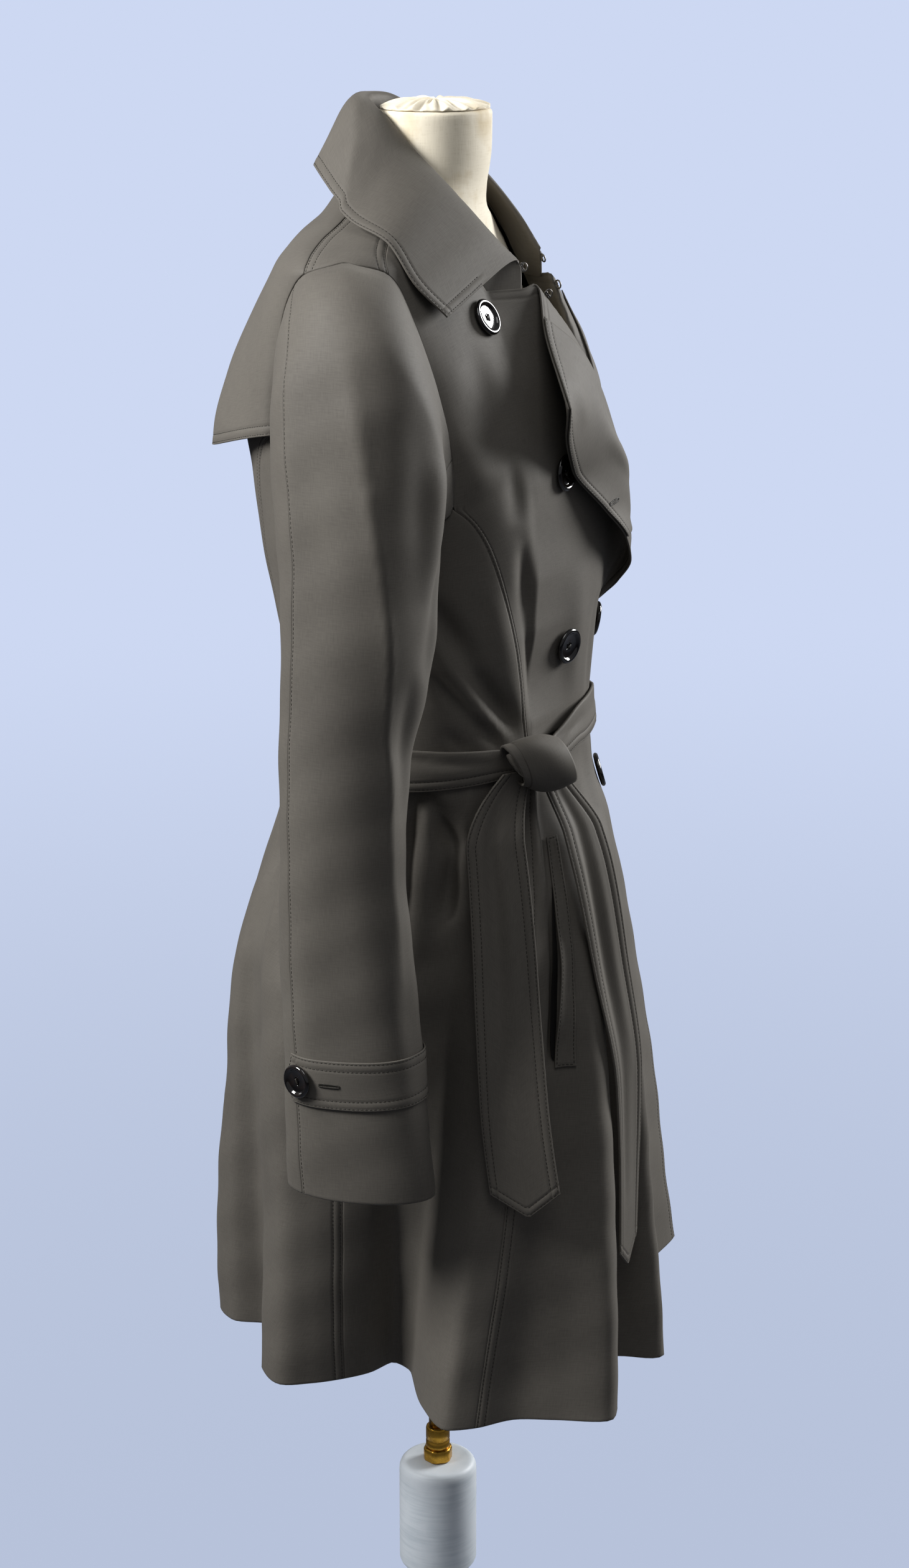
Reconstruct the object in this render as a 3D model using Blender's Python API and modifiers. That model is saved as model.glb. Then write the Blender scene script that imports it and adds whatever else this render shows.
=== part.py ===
"""A belted double-breasted trench coat resting on a limbless dress form and its stand.

Metres, +Z up. The front of the coat looks along -Y, the wearer's left is +X and the right is -X.
The origin is on the floor, under the middle of the stand's base.
Angles round the body start at the centre front and grow towards the wearer's right (-X).
"""
import math

import bpy
from mathutils import Matrix, Vector

# Driving sizes
WALL = 0.0016               # the coat's cloth
THIN = 0.0012               # facings, welts and straps
SEAM = 0.0002               # each piece is drawn back this far at a seam
GAP = 0.0003                # clearance between pieces that touch
WAIST_Z = 0.995             # waist seam
HEM_Z = 0.500               # coat hem
BODY_ROUND = 2.15           # exponent of the body's rounded sections
STRIP_START = 42.0          # angle where the front extension leaves the chest
LAPEL_TOP = 1.325           # height where the collar's ends meet the fronts
LAP = 0.0032                # how far the left front lies under the right front
LEFT_SEAM_LEAST = 62.0      # the left princess seam clears the right front's edge

BUTTON_R = 0.0138
CUFF_BUTTON_R = 0.0125
HOOK_WIRE = 0.0006
HOOK_REACH = 0.0055
HOOK_OFF = 0.0003           # from the cloth to the wire
HOOK_RISE = 0.27            # where the upper pair stands on the collar
HOOK_DROP = 0.008           # how far the lower pair stands below the collar
BUTTON_H = 0.0042
BUTTON_SEAT = 0.0012        # from the middle of the cloth to the back of a button

BELT_Z = 0.987              # middle of the tied belt
BELT_WORN = 0.031           # its height where it is worn folded
BELT_WIDTH = 0.052          # a tail's full width
BELT_WALL = 0.0022
LOOP_END = 0.0019           # a belt loop's sewn ends lie this far off the coat's surface
DOUBLED = 0.0026            # the belt stands off further over the lapped fronts
KNOT_ANGLE = 45.0
KNOT_LIFT = 0.0179          # the knot's middle stands this far off the waist
BAND_STARTS = 11.5          # the band runs up to this many degrees from the knot's middle
BAND_ENDS = 13.0
LOOP_HALF_WIDTH = 2.2       # a belt loop's, in degrees round the waist
BELT_LIFT = WALL / 2 + GAP + BELT_WALL / 2 + 0.0010
TAIL_TOP_Z = 0.9738         # the tails start just under the band

CAPE_CLEAR = 0.0024         # the cape lies this far off the back at its seam
CAPE_FLARE = 0.0260         # and stands out this much further at its hem

STRAP_Z = 0.781             # middle of the cuff strap
STRAP_WIDTH = 0.038
STRAP_POINT = -60.0         # the turn round the sleeve where its point lies
STRAP_TIP = 11.0            # how far the point stands out from its shoulders
STRAP_END = 118.0
STRAP_LIFT = WALL / 2 + THIN / 2 + 0.0007
CUFF_BUTTON_TURN = -37.0

WELT_STATION = 8.6          # where the right pocket's welt lies among the skirt's stations
LEFT_WELT_STATION = 44.9
WELT_LOW_Z = 0.762
WELT_TOP_Z = 0.926

BASE_R = 0.185
BASE_H = 0.030
POST_R = 0.0325
POST_FOOT_R = 0.0255
POST_STEP_Z = 0.240
POST_TOP_Z = 0.338
NUT_R = 0.0120
SOCKET_R = 0.0100
POLE_R = 0.0075
NUT_TOP_Z = 0.350
SOCKET_TOP_Z = 0.370
FORM_FOOT_Z = 0.750
NECK_TOP_Z = 1.449


class Table:
    """Rows of numbers under named columns, read between its rows along a smooth curve."""

    def __init__(self, columns, rows):
        self.columns = columns.split()
        self.rows = rows
        self.keys = [row[0] for row in rows]
        self.slopes = [self._slopes(column) for column in range(1, len(self.columns))]

    def _slopes(self, column):
        """A slope at each row, levelled at peaks so that the curve never overshoots a row."""
        rises = []
        for low, high in zip(self.rows, self.rows[1:]):
            rises.append((high[column] - low[column]) / (high[0] - low[0]))
        slopes = [rises[0]]
        for before, after in zip(rises, rises[1:]):
            level = before * after <= 0
            slopes.append(0.0 if level else 2 * before * after / (before + after))
        slopes.append(rises[-1])
        return slopes

    def at(self, key):
        """Every column after the first, where the first reads key."""
        last = len(self.keys) - 2
        low = 0
        while low < last and key > self.keys[low + 1]:
            low += 1
        width = self.keys[low + 1] - self.keys[low]
        t = min(1.0, max(0.0, (key - self.keys[low]) / width))
        values = []
        for column, slopes in enumerate(self.slopes, start=1):
            start, end = self.rows[low][column], self.rows[low + 1][column]
            value = (start * (1 + 2 * t) * (1 - t) ** 2 + end * t * t * (3 - 2 * t)
                     + slopes[low] * width * t * (1 - t) ** 2
                     - slopes[low + 1] * width * t * t * (1 - t))
            values.append(value)
        return values


# The bodice's level sections, from the waist over the shoulders to the neck
BODY = Table("height half_width front back middle_y front_round", [
    (0.960, 0.149, 0.1140, 0.107, 0.000, 2.15),
    (1.000, 0.147, 0.1125, 0.105, 0.000, 2.15),
    (1.050, 0.150, 0.1150, 0.110, 0.000, 2.15),
    (1.100, 0.156, 0.1160, 0.119, 0.000, 2.15),
    (1.150, 0.162, 0.1155, 0.128, 0.000, 2.15),
    (1.190, 0.166, 0.1150, 0.131, 0.002, 2.15),
    (1.220, 0.169, 0.1120, 0.132, 0.005, 2.15),
    (1.260, 0.174, 0.1030, 0.125, 0.009, 2.05),
    (1.308, 0.179, 0.0830, 0.105, 0.015, 1.85),
    (1.335, 0.181, 0.0740, 0.089, 0.018, 1.70),
    (1.347, 0.180, 0.0690, 0.080, 0.020, 1.70),
    (1.356, 0.170, 0.0640, 0.073, 0.020, 1.70),
    (1.364, 0.148, 0.0600, 0.068, 0.019, 1.70),
    (1.374, 0.112, 0.0560, 0.061, 0.016, 1.75),
    (1.388, 0.078, 0.0505, 0.056, 0.013, 1.90),
    (1.400, 0.063, 0.0460, 0.051, 0.010, 2.00),
])

# Seams of the bodice, as angle and height
PRINCESS = [(45.0, WAIST_Z), (48.5, 1.040), (52.5, 1.085), (57.5, 1.125), (62.0, 1.153), (66.5, 1.172)]
BACK_PRINCESS = [(134.0, WAIST_Z), (136.0, 1.050), (137.5, 1.105), (136.5, 1.155), (131.0, 1.195), (123.0, 1.222)]
YOKE_FRONT = [(81.5, 1.358), (82.0, 1.371)]
YOKE_BACK = [(101.0, 1.358), (105.0, 1.373)]
YOKE_FRONT_NECK = (81.0, 1.394)
YOKE_BACK_NECK = (111.0, 1.396)
NECK_FRONT = [(46.0, 1.336), (50.0, 1.350), (58.0, 1.370), (70.0, 1.392)]

# The armhole, all the way round from its top through the front, the underarm and the back
ARMHOLE = Table("turn angle height", [
    (0, 90.0, 1.3560),
    (30, 80.5, 1.3465),
    (60, 76.0, 1.3160),
    (90, 72.0, 1.2670),
    (120, 70.0, 1.2180),
    (150, 71.0, 1.1830),
    (170, 81.0, 1.1660),
    (190, 92.0, 1.1630),
    (210, 103.0, 1.1760),
    (225, 110.0, 1.1980),
    (240, 114.0, 1.2310),
    (270, 112.5, 1.2780),
    (300, 108.0, 1.3210),
    (330, 100.0, 1.3465),
    (360, 90.0, 1.3560),
])

# The right front's extension: closed up to the third button, turned out like a lapel above it
RIGHT_STRIP = Table(
    "height bulge_x bulge_y roll_x roll_y turn_x turn_y turn_z edge_x edge_y edge_z", [
        (0.995, 0.002, -0.1135, 0.050, -0.1080, 0.088, -0.0935, 0.995, 0.1155, -0.0740, 0.995),
        (1.040, 0.002, -0.1165, 0.052, -0.1110, 0.090, -0.0970, 1.040, 0.1165, -0.0790, 1.040),
        (1.066, 0.004, -0.1185, 0.055, -0.1135, 0.088, -0.1055, 1.066, 0.103, -0.1085, 1.066),
        (1.088, 0.006, -0.1200, 0.056, -0.1180, 0.080, -0.1190, 1.088, 0.076, -0.1290, 1.087),
        (1.110, 0.006, -0.1210, 0.054, -0.1230, 0.073, -0.1320, 1.109, 0.056, -0.1410, 1.107),
        (1.135, 0.005, -0.1215, 0.049, -0.1270, 0.055, -0.1400, 1.133, 0.022, -0.1435, 1.131),
        (1.168, 0.000, -0.1220, 0.040, -0.1290, 0.034, -0.1405, 1.165, -0.012, -0.1320, 1.160),
        (1.205, -0.005, -0.1200, 0.028, -0.1260, 0.012, -0.1360, 1.200, -0.050, -0.1160, 1.194),
        (1.245, -0.012, -0.1130, 0.016, -0.1180, -0.006, -0.1290, 1.237, -0.078, -0.1170, 1.220),
        (1.285, -0.024, -0.0990, 0.000, -0.1050, -0.024, -0.1150, 1.270, -0.090, -0.1200, 1.236),
        (1.325, -0.041, -0.0745, -0.030, -0.0845, -0.055, -0.0960, 1.292, -0.096, -0.1220, 1.248),
    ])

# The left front's extension: it lies under the right front, and turns out to the left above it
LEFT_STRIP = Table(
    "height bulge_x bulge_y roll_x roll_y turn_x turn_y turn_z edge_x edge_y edge_z", [
        (0.995, 0.050, -0.1020, 0.020, -0.1065, 0.000, -0.1075, 0.995, -0.020, -0.1070, 0.995),
        (1.040, 0.050, -0.1045, 0.020, -0.1090, 0.000, -0.1100, 1.040, -0.020, -0.1095, 1.040),
        (1.068, 0.050, -0.1060, 0.020, -0.1105, 0.000, -0.1115, 1.068, -0.018, -0.1110, 1.068),
        (1.095, 0.050, -0.1075, 0.020, -0.1115, 0.006, -0.1122, 1.095, -0.008, -0.1125, 1.095),
        (1.128, 0.048, -0.1085, 0.018, -0.1120, 0.008, -0.1135, 1.128, 0.002, -0.1160, 1.128),
        (1.148, 0.047, -0.1080, 0.021, -0.1122, 0.011, -0.1155, 1.148, 0.012, -0.1205, 1.147),
        (1.165, 0.046, -0.1070, 0.022, -0.1125, 0.014, -0.1185, 1.164, 0.027, -0.1235, 1.162),
        (1.205, 0.046, -0.1040, 0.018, -0.1120, 0.026, -0.1185, 1.203, 0.062, -0.1180, 1.198),
        (1.245, 0.050, -0.0970, 0.030, -0.1060, 0.046, -0.1130, 1.238, 0.096, -0.1040, 1.228),
        (1.285, 0.056, -0.0850, 0.040, -0.0940, 0.062, -0.0990, 1.274, 0.120, -0.0880, 1.260),
        (1.325, 0.054, -0.0690, 0.046, -0.0785, 0.078, -0.0800, 1.303, 0.136, -0.0700, 1.286),
    ])

# The skirt's level sections before folding
SKIRT_BODY = Table("height half_width front back", [
    (0.500, 0.207, 0.190, 0.172),
    (0.700, 0.197, 0.172, 0.163),
    (0.810, 0.187, 0.156, 0.153),
    (0.850, 0.178, 0.149, 0.140),
    (0.900, 0.164, 0.137, 0.121),
    (0.950, 0.152, 0.119, 0.109),
    (0.995, 0.1475, 0.1130, 0.1055),
])

# The skirt's folds in order from the right front's edge, round the back, to the left front's edge:
# where each line starts at the waist, where it meets the hem, and how far out the hem stands there
SKIRT = Table("station waist hem radius", [
    (0, -50, -38, 0.221),
    (1, -38, -29, 0.188),
    (2, -21, -12, 0.158),
    (3, -5, 6, 0.162),
    (4, 9, 21, 0.217),
    (5, 15, 27, 0.190),
    (6, 20, 35, 0.168),
    (7, 26, 43, 0.252),
    (8, 32, 46, 0.262),
    (9, 37, 54, 0.243),
    (10, 41, 62, 0.232),
    (11, 45, 69, 0.238),
    (12, 50, 74, 0.240),
    (13, 56, 79, 0.205),
    (14, 64, 84, 0.148),
    (15, 76, 90, 0.138),
    (16, 88, 95, 0.160),
    (17, 97, 100, 0.177),
    (18, 106, 106, 0.195),
    (19, 116, 112, 0.209),
    (20, 124, 119, 0.199),
    (21, 132, 128, 0.161),
    (22, 140, 138, 0.153),
    (23, 147, 145, 0.176),
    (24, 154, 152, 0.181),
    (25, 162, 161, 0.166),
    (26, 171, 171, 0.152),
    (27, 180, 180, 0.163),
    (28, 190, 189, 0.176),
    (29, 200, 199, 0.168),
    (30, 208, 207, 0.150),
    (31, 216, 215, 0.158),
    (32, 225, 223, 0.192),
    (33, 233, 230, 0.206),
    (34, 240, 238, 0.193),
    (35, 247, 247, 0.177),
    (36, 254, 256, 0.159),
    (37, 262, 265, 0.150),
    (38, 270, 273, 0.146),
    (39, 277, 280, 0.160),
    (40, 283, 286, 0.202),
    (41, 288, 291, 0.227),
    (42, 293, 297, 0.222),
    (43, 298, 303, 0.212),
    (44, 303, 309, 0.216),
    (45, 308, 315, 0.221),
    (46, 314, 322, 0.210),
    (47, 326, 332, 0.176),
    (48, 341, 348, 0.149),
    (49, 352, 359, 0.150),
])
SEAM_RIGHT_FRONT = 11
SEAM_RIGHT_SIDE = 17
SEAM_LEFT_SIDE = 37
SEAM_LEFT_FRONT = 43
LAST_STATION = 49
SKIRT_ROWS = (HEM_Z, 0.580, 0.660, 0.740, 0.820, 0.890, 0.940, 0.970, WAIST_Z - 2 * SEAM)
FOLD_START = 0.06           # part of the way down where the folds begin

# The right sleeve, ring by ring: how far it has left the armhole's shape, its outer and inner sides,
# its middle and its half depth from front to back
SLEEVE = Table("ring freed out_x out_z in_x in_z middle_y half_depth", [
    (0, 0.00, -0.180, 1.3580, -0.166, 1.163, 0.010, 0.0560),
    (1, 0.30, -0.194, 1.3570, -0.169, 1.156, 0.008, 0.0600),
    (2, 0.70, -0.214, 1.3440, -0.172, 1.143, 0.006, 0.0615),
    (3, 1.00, -0.234, 1.3100, -0.175, 1.124, 0.004, 0.0610),
    (4, 1.00, -0.248, 1.2550, -0.177, 1.102, 0.001, 0.0595),
    (5, 1.00, -0.256, 1.1880, -0.178, 1.072, -0.001, 0.0565),
    (6, 1.00, -0.259, 1.1150, -0.179, 1.036, 0.003, 0.0515),
    (7, 1.00, -0.258, 1.0350, -0.180, 0.991, 0.011, 0.0460),
    (8, 1.00, -0.257, 0.9500, -0.182, 0.934, 0.013, 0.0450),
    (9, 1.00, -0.257, 0.8650, -0.187, 0.860, 0.010, 0.0480),
    (10, 1.00, -0.257, 0.7800, -0.194, 0.779, 0.004, 0.0520),
    (11, 1.00, -0.257, 0.6900, -0.202, 0.690, -0.001, 0.0545),
])
SLEEVE_RINGS = 11
SLEEVE_FRONT_SEAM = 120
SLEEVE_BACK_SEAM = -45

# The neckline that the collar is sewn to, from the middle back to the front's extension
NECK_SEAM = [(0.00, 180.0, 1.396), (0.36, 111.0, 1.396), (0.55, 81.0, 1.394), (0.62, 70.0, 1.392),
             (0.72, 58.0, 1.370), (0.80, 50.0, 1.350), (0.86, 46.0, 1.336), (0.92, 42.0, 1.325)]
NECK_SEAM_CLEAR = 0.0018    # the collar's sewn edge lies this far off the neckline
NECK_AXIS_Y = 0.010
NECK_AXIS_DROP = 0.050

# The collar from its middle back to its end, on the left; the right half is its mirror
COLLAR = Table("along roll_x roll_y roll_z edge_x edge_y edge_z", [
    (0.00, 0.000, 0.0500, 1.4590, 0.000, 0.0880, 1.4080),
    (0.18, 0.026, 0.0440, 1.4570, 0.060, 0.0760, 1.4100),
    (0.34, 0.044, 0.0270, 1.4460, 0.103, 0.0510, 1.3940),
    (0.50, 0.054, 0.0010, 1.4210, 0.125, 0.0285, 1.3795),
    (0.66, 0.058, -0.0250, 1.3970, 0.141, -0.0010, 1.3680),
    (0.82, 0.054, -0.0490, 1.3710, 0.147, -0.0225, 1.3405),
    (1.00, 0.040, -0.0705, 1.3450, 0.135, -0.0435, 1.3160),
])
COLLAR_PUFF = 0.0110        # the fall's roundness at the back
STAND_HOLLOW = 0.0050       # the stand hollows towards the neck
STAND_TURN = 0.0065         # and both the stand and the fall leave the roll level, for these lengths
FALL_TURN = 0.0180

ARMHOLE_MIDDLE_X = -0.173
ARMHOLE_MIDDLE_Y = 0.008
ARMHOLE_MIDDLE_Z = 1.2605
ARMHOLE_CLEAR = 0.0014      # how far the sleeve's edge stands off the panels under the arm

CLOTH = "softshell_cloth"


# Curves and surfaces

def through(points, t):
    """A smooth curve through the points, t from 0 to 1 along their numbers."""
    spans = len(points) - 1
    low = min(int(t * spans), spans - 1)
    s = t * spans - low
    before = points[low - 1] if low > 0 else 2 * points[0] - points[1]
    start, end = points[low], points[low + 1]
    after = points[low + 2] if low < spans - 1 else 2 * points[-1] - points[-2]
    return (start * (2 - 5 * s * s + 3 * s ** 3) + end * (s + 4 * s * s - 3 * s ** 3)
            + before * (-s + 2 * s * s - s ** 3) + after * (-s * s + s ** 3)) / 2


def body(angle, height):
    """A point of the bodice's surface."""
    half_width, front, back, middle_y, front_round = BODY.at(height)
    turn = math.radians(angle)
    radius = oval(turn, half_width, front, back, front_round)
    return Vector((-radius * math.sin(turn), middle_y - radius * math.cos(turn), height))


def skirt(station, height):
    """A point of the skirt's folded surface."""
    down = (WAIST_Z - height) / (WAIST_Z - HEM_Z)
    waist, hem, hem_radius = SKIRT.at(station)
    angle = math.radians(waist + (hem - waist) * down ** 0.8)
    half_width, front, back = SKIRT_BODY.at(height)
    radius = oval(angle, half_width, front, back)
    hem_base = oval(math.radians(hem), *SKIRT_BODY.at(HEM_Z))
    depth = max(0.0, (down - FOLD_START) / (1 - FOLD_START)) ** 1.05
    radius += (hem_radius - hem_base) * depth
    if station > SEAM_LEFT_FRONT:
        radius -= LAP * min(1.0, (station - SEAM_LEFT_FRONT) / 1.5)
    return Vector((-radius * math.sin(angle), -radius * math.cos(angle), height))


def oval(angle, half_width, front, back, front_round=BODY_ROUND):
    """The distance out to a rounded section at an angle, flatter in front where front_round is small."""
    side, ahead = abs(math.sin(angle)), math.cos(angle)
    depth, power = (front, front_round) if ahead > 0 else (back, BODY_ROUND)
    return ((side / half_width) ** power + abs(ahead / depth) ** power) ** (-1 / power)


def armhole(turn):
    """The armhole's angle and height, turn in degrees from its top through the front."""
    return tuple(ARMHOLE.at(turn % 360))


def sleeve(turn, ring):
    """A point of the right sleeve, turn in degrees from its outer side through the front."""
    freed, out_x, out_z, in_x, in_z, middle_y, half_depth = SLEEVE.at(ring)
    across, ahead = math.cos(math.radians(turn)), math.sin(math.radians(turn))
    oval_point = Vector(((out_x + in_x) / 2 + (out_x - in_x) / 2 * across,
                         middle_y - half_depth * ahead,
                         (out_z + in_z) / 2 + (out_z - in_z) / 2 * across))
    hole = armhole_edge(turn)
    carried = hole + Vector(((out_x + in_x) / 2 - ARMHOLE_MIDDLE_X, 0, (out_z + in_z) / 2 - ARMHOLE_MIDDLE_Z))
    return carried.lerp(oval_point, freed)


def armhole_edge(turn):
    """The sleeve's sewn edge: just inside the armhole, and clear of the panels where it turns sharply down."""
    angle, height = armhole(turn)
    under = min(1.0, 0.8 * (1 - math.cos(math.radians(turn))))
    hole = lifted(body, angle, height, ARMHOLE_CLEAR * under)[0]
    middle = Vector((ARMHOLE_MIDDLE_X, ARMHOLE_MIDDLE_Y, ARMHOLE_MIDDLE_Z))
    return hole + (middle - hole).normalized() * 2.2 * SEAM


def strip(table, sign, height, along):
    """A point of a front's extension, along from 0 at the chest to 1 at its free edge."""
    (bulge_x, bulge_y, roll_x, roll_y, turn_x, turn_y, turn_z, edge_x, edge_y, edge_z) = table.at(height)
    knots = [chest(sign, STRIP_START, height),
             Vector((bulge_x, bulge_y, height)),
             Vector((roll_x, roll_y, height)),
             Vector((turn_x, turn_y, turn_z)),
             Vector((edge_x, edge_y, edge_z))]
    return through(knots, along)


def chest(sign, angle, height):
    """The bodice's surface on either side; the left front lies under the right one."""
    point = body(sign * angle, height)
    if sign < 0:
        closed = min(1.0, max(0.0, (1.16 - height) / 0.06))
        under = min(1.0, max(0.0, (LEFT_SEAM_LEAST + 1 - angle) / 5))
        flat = Vector((point.x, point.y, 0.0)).normalized()
        point -= flat * LAP * closed * under
    return point


def neckline(side, along):
    """A point of the neckline, along from 0 at the middle back to 1 at the front's fold."""
    sign, table = (1, RIGHT_STRIP) if side < 0 else (-1, LEFT_STRIP)
    last = NECK_SEAM[-1][0]
    if along > last:
        return strip(table, sign, LAPEL_TOP, 0.25 * (along - last) / (1 - last))
    low = max(i for i, row in enumerate(NECK_SEAM[:-1]) if row[0] <= along)
    start, end = NECK_SEAM[low], NECK_SEAM[low + 1]
    t = (along - start[0]) / (end[0] - start[0])
    return body(sign * (start[1] + (end[1] - start[1]) * t), start[2] + (end[2] - start[2]) * t)


def neck_seam(side, along):
    """The collar's sewn edge: the neckline, moved off the panels' edge in their own slope."""
    point = neckline(side, along)
    tangent = neckline(side, min(1.0, along + 0.01)) - neckline(side, max(0.0, along - 0.01))
    outward = point - Vector((0.0, NECK_AXIS_Y, point.z - NECK_AXIS_DROP))
    away = tangent.cross(outward).normalized()
    if away.z < 0:
        away.negate()
    return point + away * NECK_SEAM_CLEAR


def collar(side, along, rise):
    """A point of the collar, rise from 0 at the neckline over the roll to 1 at the outer edge."""
    roll_x, roll_y, roll_z, edge_x, edge_y, edge_z = COLLAR.at(along)
    roll, edge = Vector((side * roll_x, roll_y, roll_z)), Vector((side * edge_x, edge_y, edge_z))
    out = Vector((edge.x - roll.x, edge.y - roll.y, 0.0)).normalized()
    if rise < 0.5:
        base = neck_seam(side, along)
        bends = (base, base.lerp(roll, 0.55) - out * STAND_HOLLOW, roll - out * STAND_TURN, roll)
        return bend(bends, rise * 2)
    puff = Vector((0, 0, COLLAR_PUFF * (1 - along * along)))
    bends = (roll, roll + out * FALL_TURN + puff * 0.3 + Vector((0, 0, 0.0012)), roll.lerp(edge, 0.55) + puff, edge)
    return bend(bends, rise * 2 - 1)


def bend(points, t):
    """A curve from the first of four points to the last, pulled towards the two between."""
    a, b, c, d = points
    return a * (1 - t) ** 3 + b * 3 * t * (1 - t) ** 2 + c * 3 * t * t * (1 - t) + d * t ** 3


# Making objects

def material(name, colour, roughness, metallic=0.0):
    """A plain finish, made once."""
    made = bpy.data.materials.get(name)
    if made is None:
        made = bpy.data.materials.new(name)
        made.use_nodes = True
        shader = made.node_tree.nodes["Principled BSDF"]
        shader.inputs["Base Color"].default_value = (*colour, 1.0)
        shader.inputs["Roughness"].default_value = roughness
        shader.inputs["Metallic"].default_value = metallic
    return made


FINISHES = {
    CLOTH: ((0.105, 0.098, 0.080), 0.62, 0.0),
    "glossy_button": ((0.010, 0.009, 0.009), 0.12, 0.0),
    "dark_wire": ((0.16, 0.15, 0.15), 0.35, 1.0),
    "linen_form": ((0.70, 0.64, 0.52), 0.80, 0.0),
    "brass": ((0.80, 0.55, 0.20), 0.28, 1.0),
    "white_paint": ((0.78, 0.80, 0.80), 0.45, 0.0),
}


def add(name, mesh, finish):
    """Puts a mesh in the coat's collection as a named object."""
    thing = bpy.data.objects.new(name, mesh)
    COAT.objects.link(thing)
    thing.data.materials.append(material(finish, *FINISHES[finish]))
    return thing


def sheet(name, grid, thickness=WALL, finish=CLOTH, outward=None):
    """A wall of cloth round a grid of points; a missing point leaves its faces out."""
    numbers, points, faces = {}, [], []
    for row, line in enumerate(grid):
        for column, point in enumerate(line):
            if point is not None:
                numbers[row, column] = len(points)
                points.append(point)
    for row in range(len(grid) - 1):
        for column in range(len(grid[0]) - 1):
            corners = [(row, column), (row, column + 1), (row + 1, column + 1), (row + 1, column)]
            if all(corner in numbers for corner in corners):
                faces.append([numbers[corner] for corner in corners])
    mesh = bpy.data.meshes.new(name)
    mesh.from_pydata(points, [], faces)
    mesh.validate()
    mesh.shade_smooth()
    thing = add(name, mesh, finish)
    wall = thing.modifiers.new("wall", "SOLIDIFY")
    wall.thickness = thickness
    wall.offset = 0.0
    wall.use_even_offset = False
    return thing


def drawn_back(grid, share=SEAM):
    """The same grid with its outer rows and columns moved in by the seam's share."""
    moved = [list(line) for line in grid]
    for row, line in enumerate(grid):
        for column, point in enumerate(line):
            if point is None:
                continue
            shift = Vector((0, 0, 0))
            for ahead, back in (((0, 1), (0, -1)), ((0, -1), (0, 1)), ((1, 0), (-1, 0)), ((-1, 0), (1, 0))):
                if cell(grid, row + back[0], column + back[1]) is None:
                    towards = cell(grid, row + ahead[0], column + ahead[1])
                    if towards is not None:
                        shift += (towards - point).normalized() * share
            moved[row][column] = point + shift
    return moved


def cell(grid, row, column):
    """A grid's point, or None outside it."""
    if 0 <= row < len(grid) and 0 <= column < len(grid[0]):
        return grid[row][column]
    return None


def patch(left, right, bottom, top, surface):
    """A grid that fills four edges given as pairs of angle and height, laid on a surface."""
    rows, columns = len(left) - 1, len(bottom) - 1
    grid = []
    for row in range(rows + 1):
        v = row / rows
        line = []
        for column in range(columns + 1):
            u = column / columns
            place = []
            for axis in (0, 1):
                edges = ((1 - v) * bottom[column][axis] + v * top[column][axis]
                         + (1 - u) * left[row][axis] + u * right[row][axis])
                corners = ((1 - u) * ((1 - v) * bottom[0][axis] + v * top[0][axis])
                           + u * ((1 - v) * bottom[-1][axis] + v * top[-1][axis]))
                place.append(edges - corners)
            line.append(surface(*place))
        grid.append(line)
    return grid


def spread(start, end, steps):
    """Pairs evenly spaced from start to end."""
    pairs = []
    for step in range(steps + 1):
        t = step / steps
        pairs.append((start[0] + (end[0] - start[0]) * t, start[1] + (end[1] - start[1]) * t))
    return pairs


def arc(first, last):
    """The armhole's points between two turns, 15 degrees apart."""
    step = 15 if last > first else -15
    return [armhole(turn) for turn in range(first, last + step, step)]


def lifted(surface, u, v, lift, steps=(0.4, 0.002)):
    """A point moved off a surface along its outward normal, and that normal."""
    point = surface(u, v)
    across = surface(u + steps[0], v) - surface(u - steps[0], v)
    up = surface(u, v + steps[1]) - surface(u, v - steps[1])
    normal = across.cross(up).normalized()
    if normal.dot(Vector((point.x, point.y, 0.0))) < 0:
        normal.negate()
    return point + normal * lift, normal


def mirrored(grid):
    """The grid's mirror on the wearer's other side, its columns turned to keep the faces outward."""
    flipped = []
    for line in grid:
        flipped.append([Vector((-point.x, point.y, point.z)) for point in reversed(line)])
    return flipped


def turned(name, profile, finish, segments=32):
    """A turned piece: its profile of radius and height, from top to bottom, swept round Z."""
    mesh = bpy.data.meshes.new(name)
    points = [(radius, 0.0, height) for radius, height in profile]
    mesh.from_pydata(points, [(i, i + 1) for i in range(len(points) - 1)], [])
    thing = add(name, mesh, finish)
    sweep = thing.modifiers.new("sweep", "SCREW")
    sweep.steps = segments
    sweep.render_steps = segments
    sweep.use_merge_vertices = True
    sweep.merge_threshold = 0.00001
    sweep.use_smooth_shade = True
    return thing


def wire(name, points, radius, finish):
    """A bent wire through its points, with filled ends."""
    curve = bpy.data.curves.new(name, "CURVE")
    curve.dimensions = "3D"
    curve.bevel_depth = radius
    curve.bevel_resolution = 1
    curve.use_fill_caps = True
    spline = curve.splines.new("POLY")
    spline.points.add(len(points) - 1)
    for knot, point in zip(spline.points, points):
        knot.co = (*point, 1.0)
    thing = bpy.data.objects.new(name, curve)
    COAT.objects.link(thing)
    curve.materials.append(material(finish, *FINISHES[finish]))
    return thing


def closed_loft(name, rings, finish):
    """A solid through closed rings, its two ends filled."""
    count = len(rings[0])
    points = [point for ring in rings for point in ring]
    faces = []
    for low in range(len(rings) - 1):
        for i in range(count):
            after = (i + 1) % count
            faces.append([low * count + i, low * count + after, (low + 1) * count + after, (low + 1) * count + i])
    faces.append(list(reversed(range(count))))
    faces.append([(len(rings) - 1) * count + i for i in range(count)])
    mesh = bpy.data.meshes.new(name)
    mesh.from_pydata(points, [], faces)
    mesh.validate()
    mesh.shade_smooth()
    return add(name, mesh, finish)


# The bodice

STRIP_ROWS = 14             # rows of a front's extension, from the waist to the collar's end
STRIP_COLUMNS = 12
FACING_COLUMN = 8
CHEST_COLUMNS = 4


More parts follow.
